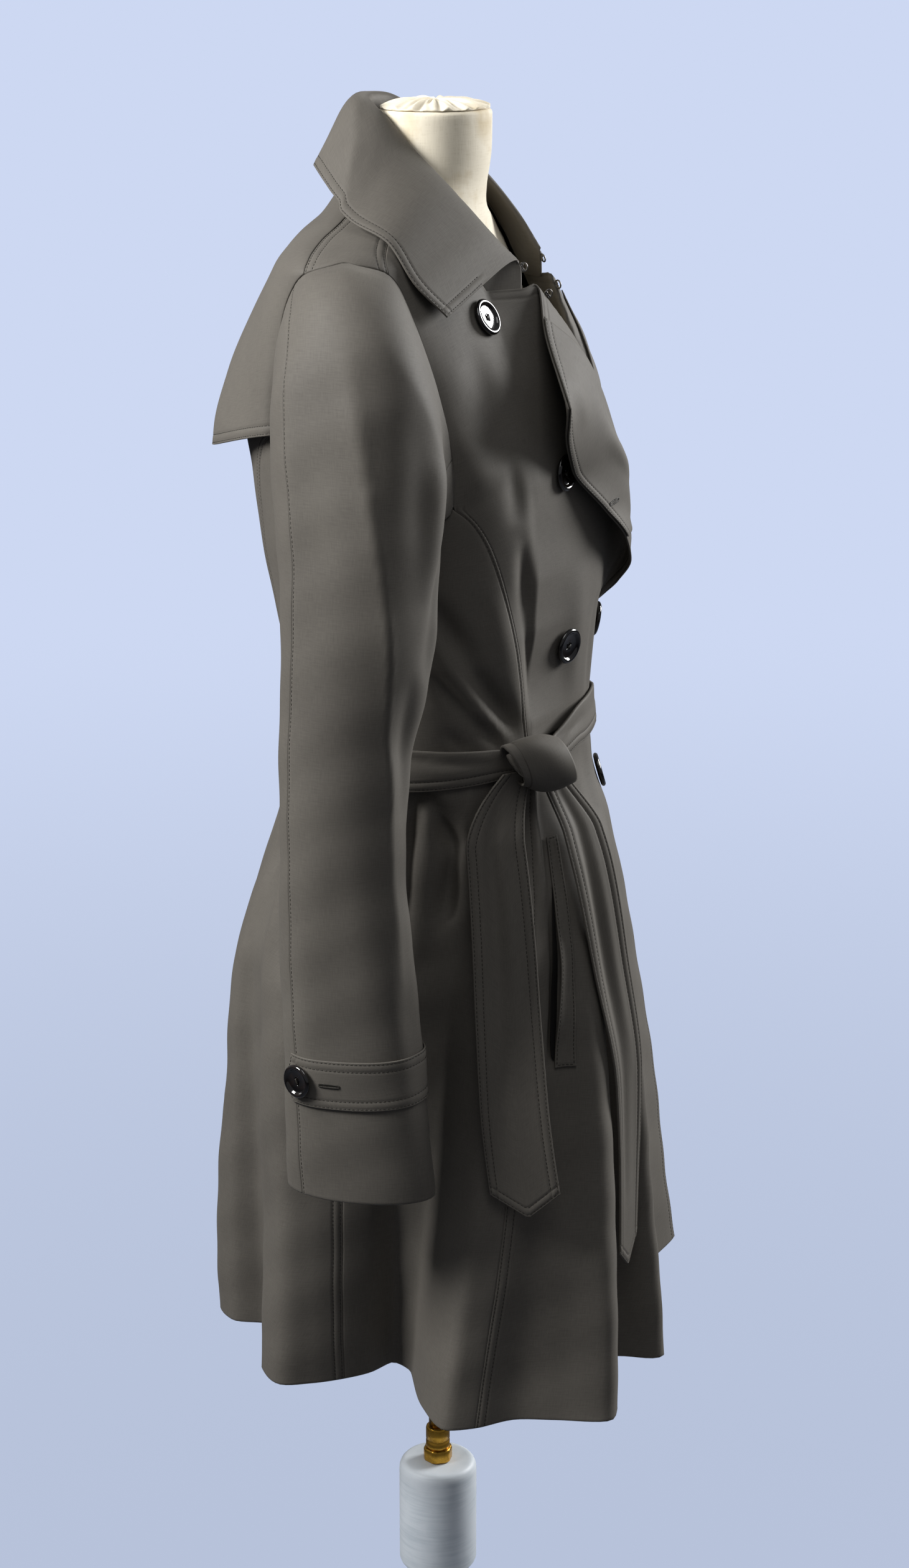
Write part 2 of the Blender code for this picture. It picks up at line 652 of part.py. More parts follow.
def front_edges(sign):
    """A front's outer edge from the waist to the neck, and its inner edge beside the extension."""
    princess = [(max(angle, LEFT_SEAM_LEAST) if sign < 0 else angle, height) for angle, height in PRINCESS]
    outer = princess + arc(150, 30) + YOKE_FRONT + [YOKE_FRONT_NECK]
    inner = spread((STRIP_START, WAIST_Z), (STRIP_START, LAPEL_TOP), STRIP_ROWS) + NECK_FRONT
    return outer, inner


def make_front(name, sign, table):
    """A front: princess panel, chest and turned-out extension in one piece."""
    outer, inner = front_edges(sign)
    bottom = spread(outer[0], inner[0], CHEST_COLUMNS)
    top = spread(outer[-1], inner[-1], CHEST_COLUMNS)
    chest_grid = patch(outer, inner, bottom, top, lambda angle, height: chest(sign, angle, height))
    grid = []
    for row, line in enumerate(chest_grid):
        if row <= STRIP_ROWS:
            steps = range(1, STRIP_COLUMNS + 1)
            extension = [strip(table, sign, strip_height(row), step / STRIP_COLUMNS) for step in steps]
        else:
            extension = [None] * STRIP_COLUMNS
        grid.append(line + extension)
    if sign < 0:
        grid = [list(reversed(line)) for line in grid]
    sheet(name, drawn_back(grid))


def make_facing(name, sign, table, low):
    """The facing on the inner side of a turned-out extension, drawn at the front's own points."""
    lift = -(WALL + THIN) / 2 - 1.6 * GAP
    grid = []
    for row in range(low, STRIP_ROWS + 1):
        height = strip_height(row)
        line = []
        for column in range(FACING_COLUMN, STRIP_COLUMNS + 1):
            line.append(strip_lifted(table, sign, height, column / STRIP_COLUMNS, lift))
        grid.append(line)
    if sign < 0:
        grid = [list(reversed(line)) for line in grid]
    sheet(name, drawn_back(grid), THIN)


def strip_height(row):
    """The height of an extension's row."""
    return WAIST_Z + (LAPEL_TOP - WAIST_Z) * row / STRIP_ROWS


def strip_lifted(table, sign, height, along, lift):
    """A point off the extension's surface, towards its outer face when lift is positive."""
    step_h, step_a = 0.003, 0.02
    low_h, high_h = max(WAIST_Z, height - step_h), min(LAPEL_TOP, height + step_h)
    low_a, high_a = max(0.0, along - step_a), min(1.0, along + step_a)
    across = strip(table, sign, height, high_a) - strip(table, sign, height, low_a)
    up = strip(table, sign, high_h, along) - strip(table, sign, low_h, along)
    normal = across.cross(up).normalized() * sign
    return strip(table, sign, height, along) + normal * lift


def make_side(name, sign):
    """A side panel under the armhole, between the princess seams."""
    left = [(max(angle, LEFT_SEAM_LEAST) if sign < 0 else angle, height) for angle, height in PRINCESS]
    left.append(armhole(150))
    right = BACK_PRINCESS + [armhole(240)]
    bottom = spread(left[0], right[0], 6)
    top = arc(150, 240)
    grid = patch(left, right, bottom, top, lambda angle, height: body(sign * angle, height))
    if sign > 0:
        grid = [list(reversed(line)) for line in grid]
    sheet(name, drawn_back(grid))


def back_grid(surface):
    """The back's points, from princess seam to princess seam, on a surface of angle and height."""
    edge = BACK_PRINCESS + arc(240, 330) + YOKE_BACK + [YOKE_BACK_NECK]
    other = [(360 - angle, height) for angle, height in edge]
    columns = 14
    bottom = spread(edge[0], other[0], columns)
    top = spread(edge[-1], other[-1], columns)
    return patch(edge, other, bottom, top, surface)


def make_back():
    """The back in one piece."""
    sheet("back", drawn_back([list(reversed(line)) for line in back_grid(body)]))


def make_yoke(name, sign):
    """The strip along the shoulder between the front and the back."""
    front = [armhole(30)] + YOKE_FRONT + [YOKE_FRONT_NECK]
    back = [armhole(330)] + YOKE_BACK + [YOKE_BACK_NECK]
    top = spread(front[-1], back[-1], 4)
    bottom = [armhole(30), armhole(15), armhole(0), armhole(345), armhole(330)]
    grid = patch(front, back, bottom, top, lambda angle, height: body(sign * angle, height))
    if sign > 0:
        grid = [list(reversed(line)) for line in grid]
    sheet(name, drawn_back(grid, 2 * SEAM))


CAPE_ROWS = slice(6, 15)    # the back's rows that the cape covers
CAPE_SIDE = 0.16            # the cape's sides stop this part of a column short of the armholes
CAPE_DIP = 0.031            # its hem hangs this much lower in the middle


def cape(angle, height):
    """The storm cape's surface: it leaves the back below the shoulders."""
    down = max(0.0, (1.385 - height) / 0.175)
    middle = math.sin(math.pi * min(1.0, max(0.0, (angle - 104) / 152)))
    point = lifted(body, angle, height, CAPE_CLEAR)[0]
    centre = Vector((0.0, BODY.at(height)[3], height))
    return point + (point - centre).normalized() * CAPE_FLARE * down ** 2.3 * middle ** 0.75


def make_cape():
    """The storm cape across the shoulders, on the back's own points moved out, free along its hem."""
    grid = back_grid(cape)[CAPE_ROWS]
    last = len(grid[0]) - 1
    first_angle, hem = armhole(240)
    for column in range(last + 1):
        t = column / last
        dip = math.sin(math.pi * t) ** 1.2
        grid[0][column] = cape(first_angle + (360 - 2 * first_angle) * t, hem - CAPE_DIP * dip)
    for line in grid:
        line[0] = line[0].lerp(line[1], CAPE_SIDE)
        line[-1] = line[-1].lerp(line[-2], CAPE_SIDE)
    sheet("cape", [list(reversed(line)) for line in grid])


# The skirt

def make_skirt_panel(name, first, last):
    """A skirt panel between two seams' stations."""
    columns = (last - first) * 2
    grid = []
    for height in SKIRT_ROWS:
        line = [skirt(last - column / 2, height) for column in range(columns + 1)]
        grid.append(line)
    sheet(name, drawn_back(grid))


# Sleeves and cuffs

def sleeve_grid(first, last):
    """The right sleeve's points between two turns."""
    grid = []
    for ring in range(SLEEVE_RINGS, -1, -1):
        line = [sleeve(turn, ring) for turn in range(first, last + 15, 15)]
        grid.append(line)
    return [list(reversed(line)) for line in grid]


def make_sleeves():
    """Top and under sleeve, right and left."""
    top = drawn_back(sleeve_grid(SLEEVE_BACK_SEAM, SLEEVE_FRONT_SEAM), 2 * SEAM)
    under = drawn_back(sleeve_grid(SLEEVE_FRONT_SEAM, 360 + SLEEVE_BACK_SEAM), 2 * SEAM)
    sheet("top_sleeve_right", top)
    sheet("under_sleeve_right", under)
    sheet("top_sleeve_left", mirrored(top))
    sheet("under_sleeve_left", mirrored(under))


def cuff_surface(turn, height):
    """The sleeve's surface near its hem by height."""
    return sleeve(turn, 10 + (0.78 - height) / 0.09)


def off_sleeve(turn, height, lift):
    """A point off the right sleeve, lift along its outward normal."""
    point = cuff_surface(turn, height)
    across = cuff_surface(turn + 2, height) - cuff_surface(turn - 2, height)
    up = cuff_surface(turn, height + 0.004) - cuff_surface(turn, height - 0.004)
    normal = across.cross(up).normalized()
    middle = Vector((-0.226, 0.003, height))
    if normal.dot(point - middle) < 0:
        normal.negate()
    return point + normal * lift


def make_straps():
    """The cuff straps: pointed at the back, running round the front to the seam."""
    columns, rows = 14, 2
    grid = []
    for row in range(rows + 1):
        side = row / rows * 2 - 1
        line = []
        for column in range(columns + 1):
            t = column / columns
            turn = STRAP_POINT + (STRAP_END - STRAP_POINT) * t
            if column == 0:
                turn += STRAP_TIP * abs(side)
            height = STRAP_Z + side * STRAP_WIDTH / 2 + 0.004 * t * t
            line.append(off_sleeve(turn, height, STRAP_LIFT))
        grid.append(list(reversed(line)))
    sheet("cuff_strap_right", grid, THIN)
    sheet("cuff_strap_left", mirrored(grid), THIN)


# Collar

def make_collar():
    """The turned-down collar in one piece."""
    columns = 26
    grid = []
    for rise in (0, 0.14, 0.27, 0.38, 0.50, 0.58, 0.67, 0.78, 0.89, 1.0):
        line = []
        for column in range(columns + 1):
            along = column / columns * 2 - 1
            line.append(collar(1 if along > 0 else -1, abs(along), rise))
        grid.append(line)
    sheet("collar", grid)


# Belt

def make_belt():
    """The tied belt: band, knot and two hanging tails."""
    columns = 36
    first, last = KNOT_ANGLE + BAND_STARTS, 360 + KNOT_ANGLE - BAND_ENDS
    grid = []
    for side in (-1, 1):
        line = []
        for column in range(columns + 1):
            angle = last + (first - last) * column / columns
            near = min(1.0, min(abs(angle - first), abs(angle - last)) / 30)
            height = BELT_Z + side * BELT_WORN / 2 * (0.72 + 0.28 * near)
            line.append(belt_point(angle, height, BELT_LIFT))
        grid.append(line)
    sheet("belt_band", grid, BELT_WALL)


def belt_point(angle, height, lift):
    """A point of the worn belt, off the bodice above the waist seam and off the skirt below it."""
    turn = math.radians(angle)
    sections = SKIRT_BODY if height < WAIST_Z else BODY
    radius = oval(turn, *sections.at(height)[:3]) + lift
    if angle % 360 > 290 or angle % 360 < 42:
        radius += DOUBLED
    return Vector((-radius * math.sin(turn), -radius * math.cos(turn), height))


def make_knot():
    """The knot: the belt's folded turn over itself."""
    centre = belt_point(KNOT_ANGLE, BELT_Z, KNOT_LIFT)
    out = Vector((centre.x, centre.y, 0.0)).normalized()
    along = Vector((-out.y, out.x, 0.0))
    up = Vector((0, 0, 1))
    rings = []
    steps, sides = 7, 16
    for step in range(steps + 1):
        t = step / steps * 2 - 1
        size = (1 - abs(t) ** 3.0) ** 0.5 * 0.78 + 0.22
        ring = []
        for i in range(sides):
            a = 2 * math.pi * i / sides
            ring.append(centre - along * (t * 0.021 + 0.006 * math.sin(a))
                        + out * (0.0150 * size * math.cos(a)) + up * (0.0205 * size * math.sin(a)))
        rings.append(ring)
    closed_loft("belt_knot", rings, CLOTH)


NEAR_TAIL = Table("height x y width facing", [
    (0.664, -0.197, -0.1200, 0.0520, -76.0),
    (0.730, -0.190, -0.1085, 0.0510, -74.0),
    (0.800, -0.175, -0.0990, 0.0490, -71.0),
    (0.870, -0.157, -0.0900, 0.0470, -68.0),
    (0.930, -0.140, -0.0800, 0.0450, -63.0),
    (TAIL_TOP_Z, -0.131, -0.0710, 0.0430, -60.0),
])
FAR_TAIL = Table("height x y width facing", [
    (0.590, -0.106, -0.1780, 0.0420, -6.0),
    (0.650, -0.104, -0.1770, 0.0420, -8.0),
    (0.740, -0.098, -0.1740, 0.0420, -16.0),
    (0.830, -0.092, -0.1575, 0.0430, -25.0),
    (0.900, -0.084, -0.1420, 0.0420, -32.0),
    (TAIL_TOP_Z, -0.066, -0.1140, 0.0330, -36.0),
])


def make_tail(name, table, tip, first, last):
    """A hanging belt tail: pointed below, its top tucked under the band from one angle to another."""
    rows, columns = 11, 2
    low, high = table.rows[0][0], table.rows[-1][0]
    grid = []
    for row in range(rows + 1):
        height = low + (high - low) * row / rows
        x, y, width, facing = table.at(height)
        across = Vector((math.cos(math.radians(facing)), math.sin(math.radians(facing)), 0.0))
        line = []
        for column in range(columns + 1):
            side = column / columns * 2 - 1
            point = Vector((x, y, height)) + across * side * width / 2
            if row == 0:
                point.z += tip * abs(side)
            if row == rows:
                point = belt_point(first + (last - first) * column / columns, TAIL_TOP_Z, BELT_LIFT)
            line.append(point)
        grid.append(line)
    sheet(name, grid, BELT_WALL)


def make_loop(name, angle):
    """A belt loop over the band."""
    lift = WALL + GAP * 2 + BELT_WALL + THIN / 2 + 0.0018
    half = BELT_WORN / 2 + 0.0040
    section = ((-half - 0.004, LOOP_END), (-half, lift * 0.80), (-half * 0.8, lift),
               (half * 0.8, lift), (half, lift * 0.80), (half + 0.004, LOOP_END))
    grid = []
    for height, out in section:
        line = []
        for side in (-1, 1):
            line.append(belt_point(angle - side * LOOP_HALF_WIDTH, BELT_Z + height, out))
        grid.append(line)
    sheet(name, grid, THIN)


# Pockets

def make_welt(name, mirror):
    """A slanted pocket welt on a front panel."""
    rows, columns = 7, 1
    lift = WALL / 2 + 2 * GAP + THIN / 2
    grid = []
    for row in range(rows + 1):
        t = row / rows
        height = WELT_LOW_Z + (WELT_TOP_Z - WELT_LOW_Z) * t
        line = []
        for column in range(columns + 1):
            station = WELT_STATION - 0.15 * t + 0.75 * (1 - column)
            if mirror:
                station = LEFT_WELT_STATION + 0.45 * t - 0.75 * column
            line.append(lifted(skirt, station, height, lift, (0.05, 0.003))[0])
        grid.append(line)
    sheet(name, grid, THIN)


# Buttons, hooks and eyes

def make_button(name, radius, place, normal):
    """A round button with a raised rim and a dished middle."""
    profile = [(0.0, BUTTON_H * 0.55), (radius * 0.72, BUTTON_H * 0.60), (radius * 0.88, BUTTON_H),
               (radius, BUTTON_H * 0.60), (radius * 0.85, BUTTON_H * 0.10), (0.0, 0.0)]
    button = turned(name, profile, "glossy_button", 16)
    button.rotation_mode = "QUATERNION"
    button.rotation_quaternion = Vector((0, 0, 1)).rotation_difference(normal)
    button.location = place


def seat(surface, u, v, reach_u, reach_v, lift):
    """A flat piece's seat: clear of the surface all round, and square to it."""
    around = [(-1, 0), (1, 0), (0, -1), (0, 1), (-0.7, -0.7), (0.7, -0.7), (-0.7, 0.7), (0.7, 0.7)]
    samples = [surface(u + reach_u * a, v + reach_v * b) for a, b in around]
    normal = (samples[1] - samples[0]).cross(samples[3] - samples[2]).normalized()
    middle = surface(u, v)
    if normal.dot(Vector((middle.x, middle.y, 0.0))) < 0:
        normal.negate()
    highest = max((sample - middle).dot(normal) for sample in samples)
    return middle + normal * (max(0.0, highest) + lift), normal


BUTTON_ROWS = [("1", 1.308), ("2", 1.193), ("3", 1.060), ("4", 0.931)]


def make_buttons():
    """Two columns of four on the fronts, and one on each cuff."""
    for row, height in BUTTON_ROWS:
        make_button("button_right_" + row, BUTTON_R, *right_button_place(row, height))
        make_button("button_left_" + row, BUTTON_R, *left_button_place(row, height))
    off = STRAP_LIFT + THIN / 2 + 2 * GAP
    place, normal = seat(cuff_surface, CUFF_BUTTON_TURN, STRAP_Z, 14.0, CUFF_BUTTON_R, off)
    make_button("cuff_button_right", CUFF_BUTTON_R, place, normal)
    make_button("cuff_button_left", CUFF_BUTTON_R, Vector((-place.x, place.y, place.z)),
                Vector((-normal.x, normal.y, normal.z)))


def right_button_place(row, height):
    """The right column stands on the right front's chest and skirt."""
    if height < WAIST_Z:
        return seat(skirt, 6.2, height, 0.65, BUTTON_R, BUTTON_SEAT)
    if row == "1":
        return seat(body, 49.0, height, 9.0, BUTTON_R, BUTTON_SEAT)
    return seat(right_strip, {"2": 0.11, "3": 0.13}[row], height, 0.05, BUTTON_R, BUTTON_SEAT)


def left_button_place(row, height):
    """The left column: fastened through the right front below, on the left front above."""
    if height < WAIST_Z:
        return seat(skirt, 1.3, height, 0.66, BUTTON_R, BUTTON_SEAT - 0.0002)
    if row == "3":
        return seat(right_strip, 0.66, height - 0.006, 0.12, BUTTON_R, BUTTON_SEAT + 0.0002)
    return seat(left_body, {"1": 49.0, "2": 46.0}[row], height, 8.0, BUTTON_R, BUTTON_SEAT)


def right_strip(along, height):
    """The right front's extension, by its place across it and its height."""
    return strip(RIGHT_STRIP, 1, height, along)


def left_body(angle, height):
    """The left front's chest."""
    return chest(-1, angle, height)


def make_hooks():
    """Two hooks at the right neck edge and two eyes at the left, below the collar's ends."""
    for name, side, sign, table in (("hook_", -1, 1, RIGHT_STRIP), ("eye_", 1, -1, LEFT_STRIP)):
        stand = collar(side, 1.0, HOOK_RISE)
        edge = collar(side, 1.0, HOOK_RISE + 0.1) - collar(side, 1.0, HOOK_RISE - 0.1)
        make_wire_loop(name + "1", stand, stand - collar(side, 0.94, HOOK_RISE), edge, 0.0)
        low = LAPEL_TOP - HOOK_DROP
        fold = strip(table, sign, low, 0.5)
        edge = strip(table, sign, low + 0.006, 0.5) - strip(table, sign, low - 0.006, 0.5)
        make_wire_loop(name + "2", fold, fold - strip(table, sign, low, 0.35), edge, WALL / 2)


def make_wire_loop(name, anchor, ahead, edge, clear):
    """A bent wire just off the cloth, square to the cloth's edge."""
    edge = edge.normalized()
    ahead = (ahead - edge * ahead.dot(edge)).normalized()
    start = anchor + ahead * (HOOK_OFF + clear)
    points = []
    for step in range(9):
        a = math.pi * (step / 8 * 1.6 - 0.8)
        points.append(start + ahead * HOOK_REACH * (1 + math.cos(a)) / 2 + edge * HOOK_REACH * 0.55 * math.sin(a))
    wire(name, points, HOOK_WIRE, "dark_wire")


# Dress form and stand

FORM_INSET = Table("height inset", [
    (0.960, 0.0120),
    (1.250, 0.0100),
    (1.320, 0.0060),
    (1.345, 0.0042),
    (1.356, 0.0036),
    (1.366, 0.0026),
    (1.400, 0.0026),
])
HIPS = Table("height half_width front back", [
    (0.750, 0.128, 0.102, 0.110),
    (0.800, 0.146, 0.112, 0.122),
    (0.860, 0.150, 0.110, 0.116),
    (0.920, 0.142, 0.104, 0.100),
    (0.960, 0.137, 0.102, 0.095),
])
NECK = Table("height half_width half_depth middle_y", [
    (1.386, 0.0620, 0.0440, 0.008),
    (1.400, 0.0510, 0.0420, 0.004),
    (1.420, 0.0480, 0.0420, 0.001),
    (1.449, 0.0475, 0.0415, 0.000),
])


def make_form():
    """The limbless dress form: hips, waist, bust and shoulders, up to a cut neck."""
    sides = 24
    rings = []
    heights = [0.750, 0.780, 0.820, 0.870, 0.920, 0.960, 1.000, 1.050, 1.100, 1.150, 1.190, 1.230, 1.270, 1.308,
               1.330, 1.345, 1.354, 1.362, 1.373, 1.386, 1.400, 1.420, 1.449]
    for height in heights:
        ring = []
        for i in range(sides):
            angle = -360 * i / sides
            ring.append(form_point(angle, height))
        rings.append(ring)
    closed_loft("dress_form", rings, "linen_form")


def form_point(angle, height):
    """A point of the dress form's surface."""
    turn = math.radians(angle)
    if height < 0.960:
        half_width, front, back = HIPS.at(height)
        radius = oval(turn, half_width, front, back)
        return Vector((-radius * math.sin(turn), -radius * math.cos(turn), height))
    if height > 1.380:
        half_width, half_depth, middle_y = NECK.at(height)
        return Vector((-half_width * math.sin(turn), middle_y - half_depth * math.cos(turn), height))
    inset = FORM_INSET.at(height)[0]
    return lifted(body, angle, height, -inset)[0]


def make_stand():
    """Pole, brass socket and nut, painted post and a weighted base."""
    turned("pole", [(0.0, FORM_FOOT_Z - GAP), (POLE_R, FORM_FOOT_Z - GAP), (POLE_R, SOCKET_TOP_Z + GAP),
                    (0.0, SOCKET_TOP_Z + GAP)], "brass", 20)
    turned("brass_socket", [(0.0, SOCKET_TOP_Z), (SOCKET_R * 0.86, SOCKET_TOP_Z), (SOCKET_R, SOCKET_TOP_Z - 0.002),
                            (SOCKET_R, NUT_TOP_Z + GAP), (0.0, NUT_TOP_Z + GAP)], "brass", 28)
    turned("brass_nut", [(0.0, NUT_TOP_Z), (NUT_R - 0.0015, NUT_TOP_Z), (NUT_R, NUT_TOP_Z - 0.0015),
                         (NUT_R, POST_TOP_Z + GAP), (0.0, POST_TOP_Z + GAP)], "brass", 28)
    turned("stand_post", [(0.0, POST_TOP_Z), (POST_R - 0.004, POST_TOP_Z), (POST_R, POST_TOP_Z - 0.004),
                          (POST_R, POST_STEP_Z + 0.006), (POST_FOOT_R, POST_STEP_Z - 0.004),
                          (POST_FOOT_R, 0.070), (POST_R, 0.052), (POST_R, BASE_H + GAP), (0.0, BASE_H + GAP)],
           "white_paint", 24)
    turned("stand_base", [(0.0, BASE_H), (0.080, BASE_H), (BASE_R - 0.030, BASE_H - 0.010),
                          (BASE_R, BASE_H - 0.020), (BASE_R, 0.0), (0.0, 0.0)], "white_paint", 36)


def make_neck_cap():
    """The gathered cloth cap on the neck."""
    top = NECK_TOP_Z + GAP
    turned_cap = turned("neck_cap", [(0.0, top + 0.0045), (0.014, top + 0.0045), (0.034, top + 0.0030),
                                     (0.0410, top + 0.0010), (0.0405, top), (0.0, top)], "linen_form", 28)
    turned_cap.scale = (1.12, 1.0, 1.0)


# Build

for thing in list(bpy.data.objects):
    bpy.data.objects.remove(thing)
COAT = bpy.data.collections.new("trench_coat_on_dress_form")
bpy.context.scene.collection.children.link(COAT)

make_front("front_right", 1, RIGHT_STRIP)
make_front("front_left", -1, LEFT_STRIP)
make_facing("facing_right", 1, RIGHT_STRIP, 6)
make_facing("facing_left", -1, LEFT_STRIP, 9)
make_side("side_right", 1)
make_side("side_left", -1)
make_back()
make_yoke("yoke_right", 1)
make_yoke("yoke_left", -1)
make_cape()
make_skirt_panel("skirt_front_right", 0, SEAM_RIGHT_FRONT)
make_skirt_panel("skirt_side_right", SEAM_RIGHT_FRONT, SEAM_RIGHT_SIDE)
make_skirt_panel("skirt_back", SEAM_RIGHT_SIDE, SEAM_LEFT_SIDE)
make_skirt_panel("skirt_side_left", SEAM_LEFT_SIDE, SEAM_LEFT_FRONT)
make_skirt_panel("skirt_front_left", SEAM_LEFT_FRONT, LAST_STATION)
make_sleeves()
make_straps()
make_collar()
make_belt()
make_knot()
make_tail("belt_tail_near", NEAR_TAIL, 0.018, KNOT_ANGLE + 24, KNOT_ANGLE + 8)
make_tail("belt_tail_far", FAR_TAIL, 0.018, KNOT_ANGLE - 9, KNOT_ANGLE - 22)
make_loop("belt_loop_right", 92.0)
make_loop("belt_loop_left", -92.0)
make_welt("pocket_welt_right", False)
make_welt("pocket_welt_left", True)
make_buttons()
make_hooks()
make_form()
make_neck_cap()
make_stand()
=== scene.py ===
import math

import bpy
import numpy as np
from mathutils import Matrix, Vector


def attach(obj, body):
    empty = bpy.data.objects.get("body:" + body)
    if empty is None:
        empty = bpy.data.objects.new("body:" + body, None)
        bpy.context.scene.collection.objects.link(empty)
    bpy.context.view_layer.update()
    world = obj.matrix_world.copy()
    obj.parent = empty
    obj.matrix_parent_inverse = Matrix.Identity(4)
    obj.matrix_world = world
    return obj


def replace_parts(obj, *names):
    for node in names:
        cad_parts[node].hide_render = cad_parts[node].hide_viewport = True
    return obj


# A belted trench coat on a dress form and its stand. Metres, +Z up, the coat's front along -Y, the wearer's
# left along +X. Angles round the body start at the centre front and grow towards the wearer's right (-X).
# Tables give its sections and seams, surfaces read the tables, and each cut piece is a grid on a surface.

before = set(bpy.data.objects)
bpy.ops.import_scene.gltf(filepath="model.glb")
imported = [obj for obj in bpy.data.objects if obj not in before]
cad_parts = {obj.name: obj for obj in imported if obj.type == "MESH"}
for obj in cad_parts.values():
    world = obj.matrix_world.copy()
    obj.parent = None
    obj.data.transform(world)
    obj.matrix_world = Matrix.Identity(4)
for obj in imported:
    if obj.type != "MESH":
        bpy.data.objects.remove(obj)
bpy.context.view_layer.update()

# Cloth
WALL = 0.0016               # the coat's cloth
THIN = 0.0012               # facings, welts and straps
BELT_WALL = 0.0022
SEAM = 0.0002               # half the space between two sewn panels
GAP = 0.0003                # from one piece to what it lies on
STEP = 0.0035               # the size of the cloth's mesh
STITCH = 0.0024             # one stitch, and from one to the next
STITCH_PITCH = 0.0032
THREAD_HALF = 0.00025
STITCH_DIP = 0.00030        # how deep its ends go into the cloth, and how high its middle lies
STITCH_RISE = 0.00016
THREAD_LIFT = 0.00008
ALL_SEAMS = dict.fromkeys(("left", "right", "bottom", "top"), "seam")

# How far one unit of each crease table's places reaches, in metres
BODY_DEGREE = 0.0024
SKIRT_STATION = 0.019
SLEEVE_DEGREE = 0.00085
COLLAR_HALF, COLLAR_DEPTH = 0.33, 0.14
FLAP_WIDTH = 0.21
TAIL_WIDTH, TAIL_LENGTH = 0.024, 0.3

# The bodice and the skirt
WAIST_Z = 0.995
HEM_Z = 0.500
BODY_ROUND = 2.15           # 2 is an ellipse, more is squarer
STRIP_START = 42.0          # the angle where a front's extension leaves the chest
LAPEL_TOP = 1.325
LAP = 0.0032                # how far the left front lies under the right one
LEFT_SEAM_LEAST = 62.0      # the left princess seam starts no nearer to the front than this
CREASES_END_Z = 1.375       # no creases above this, and 30 mm lower they are full
CREASES_FADE = 0.03
CAPE_CLEAR = 0.0024
CAPE_FLARE = 0.0260
CAPE_DIP = 0.031
CAPE_TOP_Z, CAPE_DROP = 1.385, 0.175
CAPE_SPAN = (104, 256)      # the angles between which it stands off the back
CAPE_SEWN = 0.011           # how far in from its sides the cape is held down by the armhole seams

SLEEVE_SEAMS = (-45, 120)   # the turns where the top sleeve meets the under sleeve
STRAP_START, STRAP_END = -60, 118
CUFF_RING, CUFF_RING_Z, RING_STEP = 10, 0.78, 0.09

# The collar between its neckline, its roll and its edge
STAND_HOLLOW = 0.0050
ROLL_HOLLOW = 0.0065
ROLL_OUT = 0.0180
FALL_PUFF = 0.0110
BASE_DROP = 0.0032          # towards the front its base lies this much lower, behind the fall

# Belt, straps and buttons
BELT_Z = 0.987
BELT_WORN = 0.031
BELT_LIFT = WALL / 2 + GAP + BELT_WALL / 2 + 0.0010
BELT_CLIMB = 0.0090         # how much higher the band runs on its way round the left front
TAIL_TOP_Z = 0.9738
TAIL_POINT = 0.018
TAIL_TUCK = 0.052           # the length over which a tail turns in under the knot
DOUBLED = 0.0026            # how much further out the belt lies where the fronts overlap
OVERLAP_FROM, OVERLAP_TO, OVERLAP_EASE = 284, 48, 6
KNOT_ANGLE = 45.0
KNOT_LIFT = 0.0179
KNOT_WALL = 0.0020
STRAP_Z = 0.781
STRAP_WIDTH = 0.038
STRAP_LIFT = WALL / 2 + THIN / 2 + 0.0007
BUTTON_R = 0.0138
CUFF_BUTTON_R = 0.0125
BUTTON_H = 0.0042
BUTTON_SEAT = 0.0012
WELT_LOW_Z, WELT_HIGH_Z = 0.762, 0.926
WELT_GAPE = 0.0045
MOUTH_LOW_Z, MOUTH_LENGTH = 0.767, 0.126
# the near-black sheet of painted shade in each pocket mouth: its wall, and how far it lies off the skirt
POCKET_SHADE_WALL = 0.0005
POCKET_SHADE_LIFT = 0.0010
HOLE_R = 0.0010
HOLE_OFF = 0.0022           # from the button's middle to each of its holes
BUTTON_THREAD_R = 0.00024
BUTTONHOLE_R = 0.00030
TIE_R = 0.00028
WIRE_R = 0.0006
WIRE_REACH = 0.0055
WIRE_RING = 0.0013

# The dress form: where its bust takes over from its hips, and its neck from its bust
FORM_LOW_Z, FORM_HIGH_Z = 0.750, 1.446
BUST_Z, BUST_EASE = 0.945, 0.03
NECK_Z, NECK_EASE = 1.368, 0.020
NECK_TOP_Z = 1.449

# The studio
IMAGE_HIGH = 2520           # the rendered image's height in pixels, as are the next two
FOCAL = 4650
HORIZON = 1410              # how far above the image's middle the horizon lies
SENSOR = 36
HEADING = 14                # degrees from square on to the coat's right side
CAMERA_Z = 1.59
CAMERA_AWAY = 2.17
CAMERA_ASIDE = 0.014
FLOOR_HALF = 40.0
BACKDROP = "#CDD8F2"


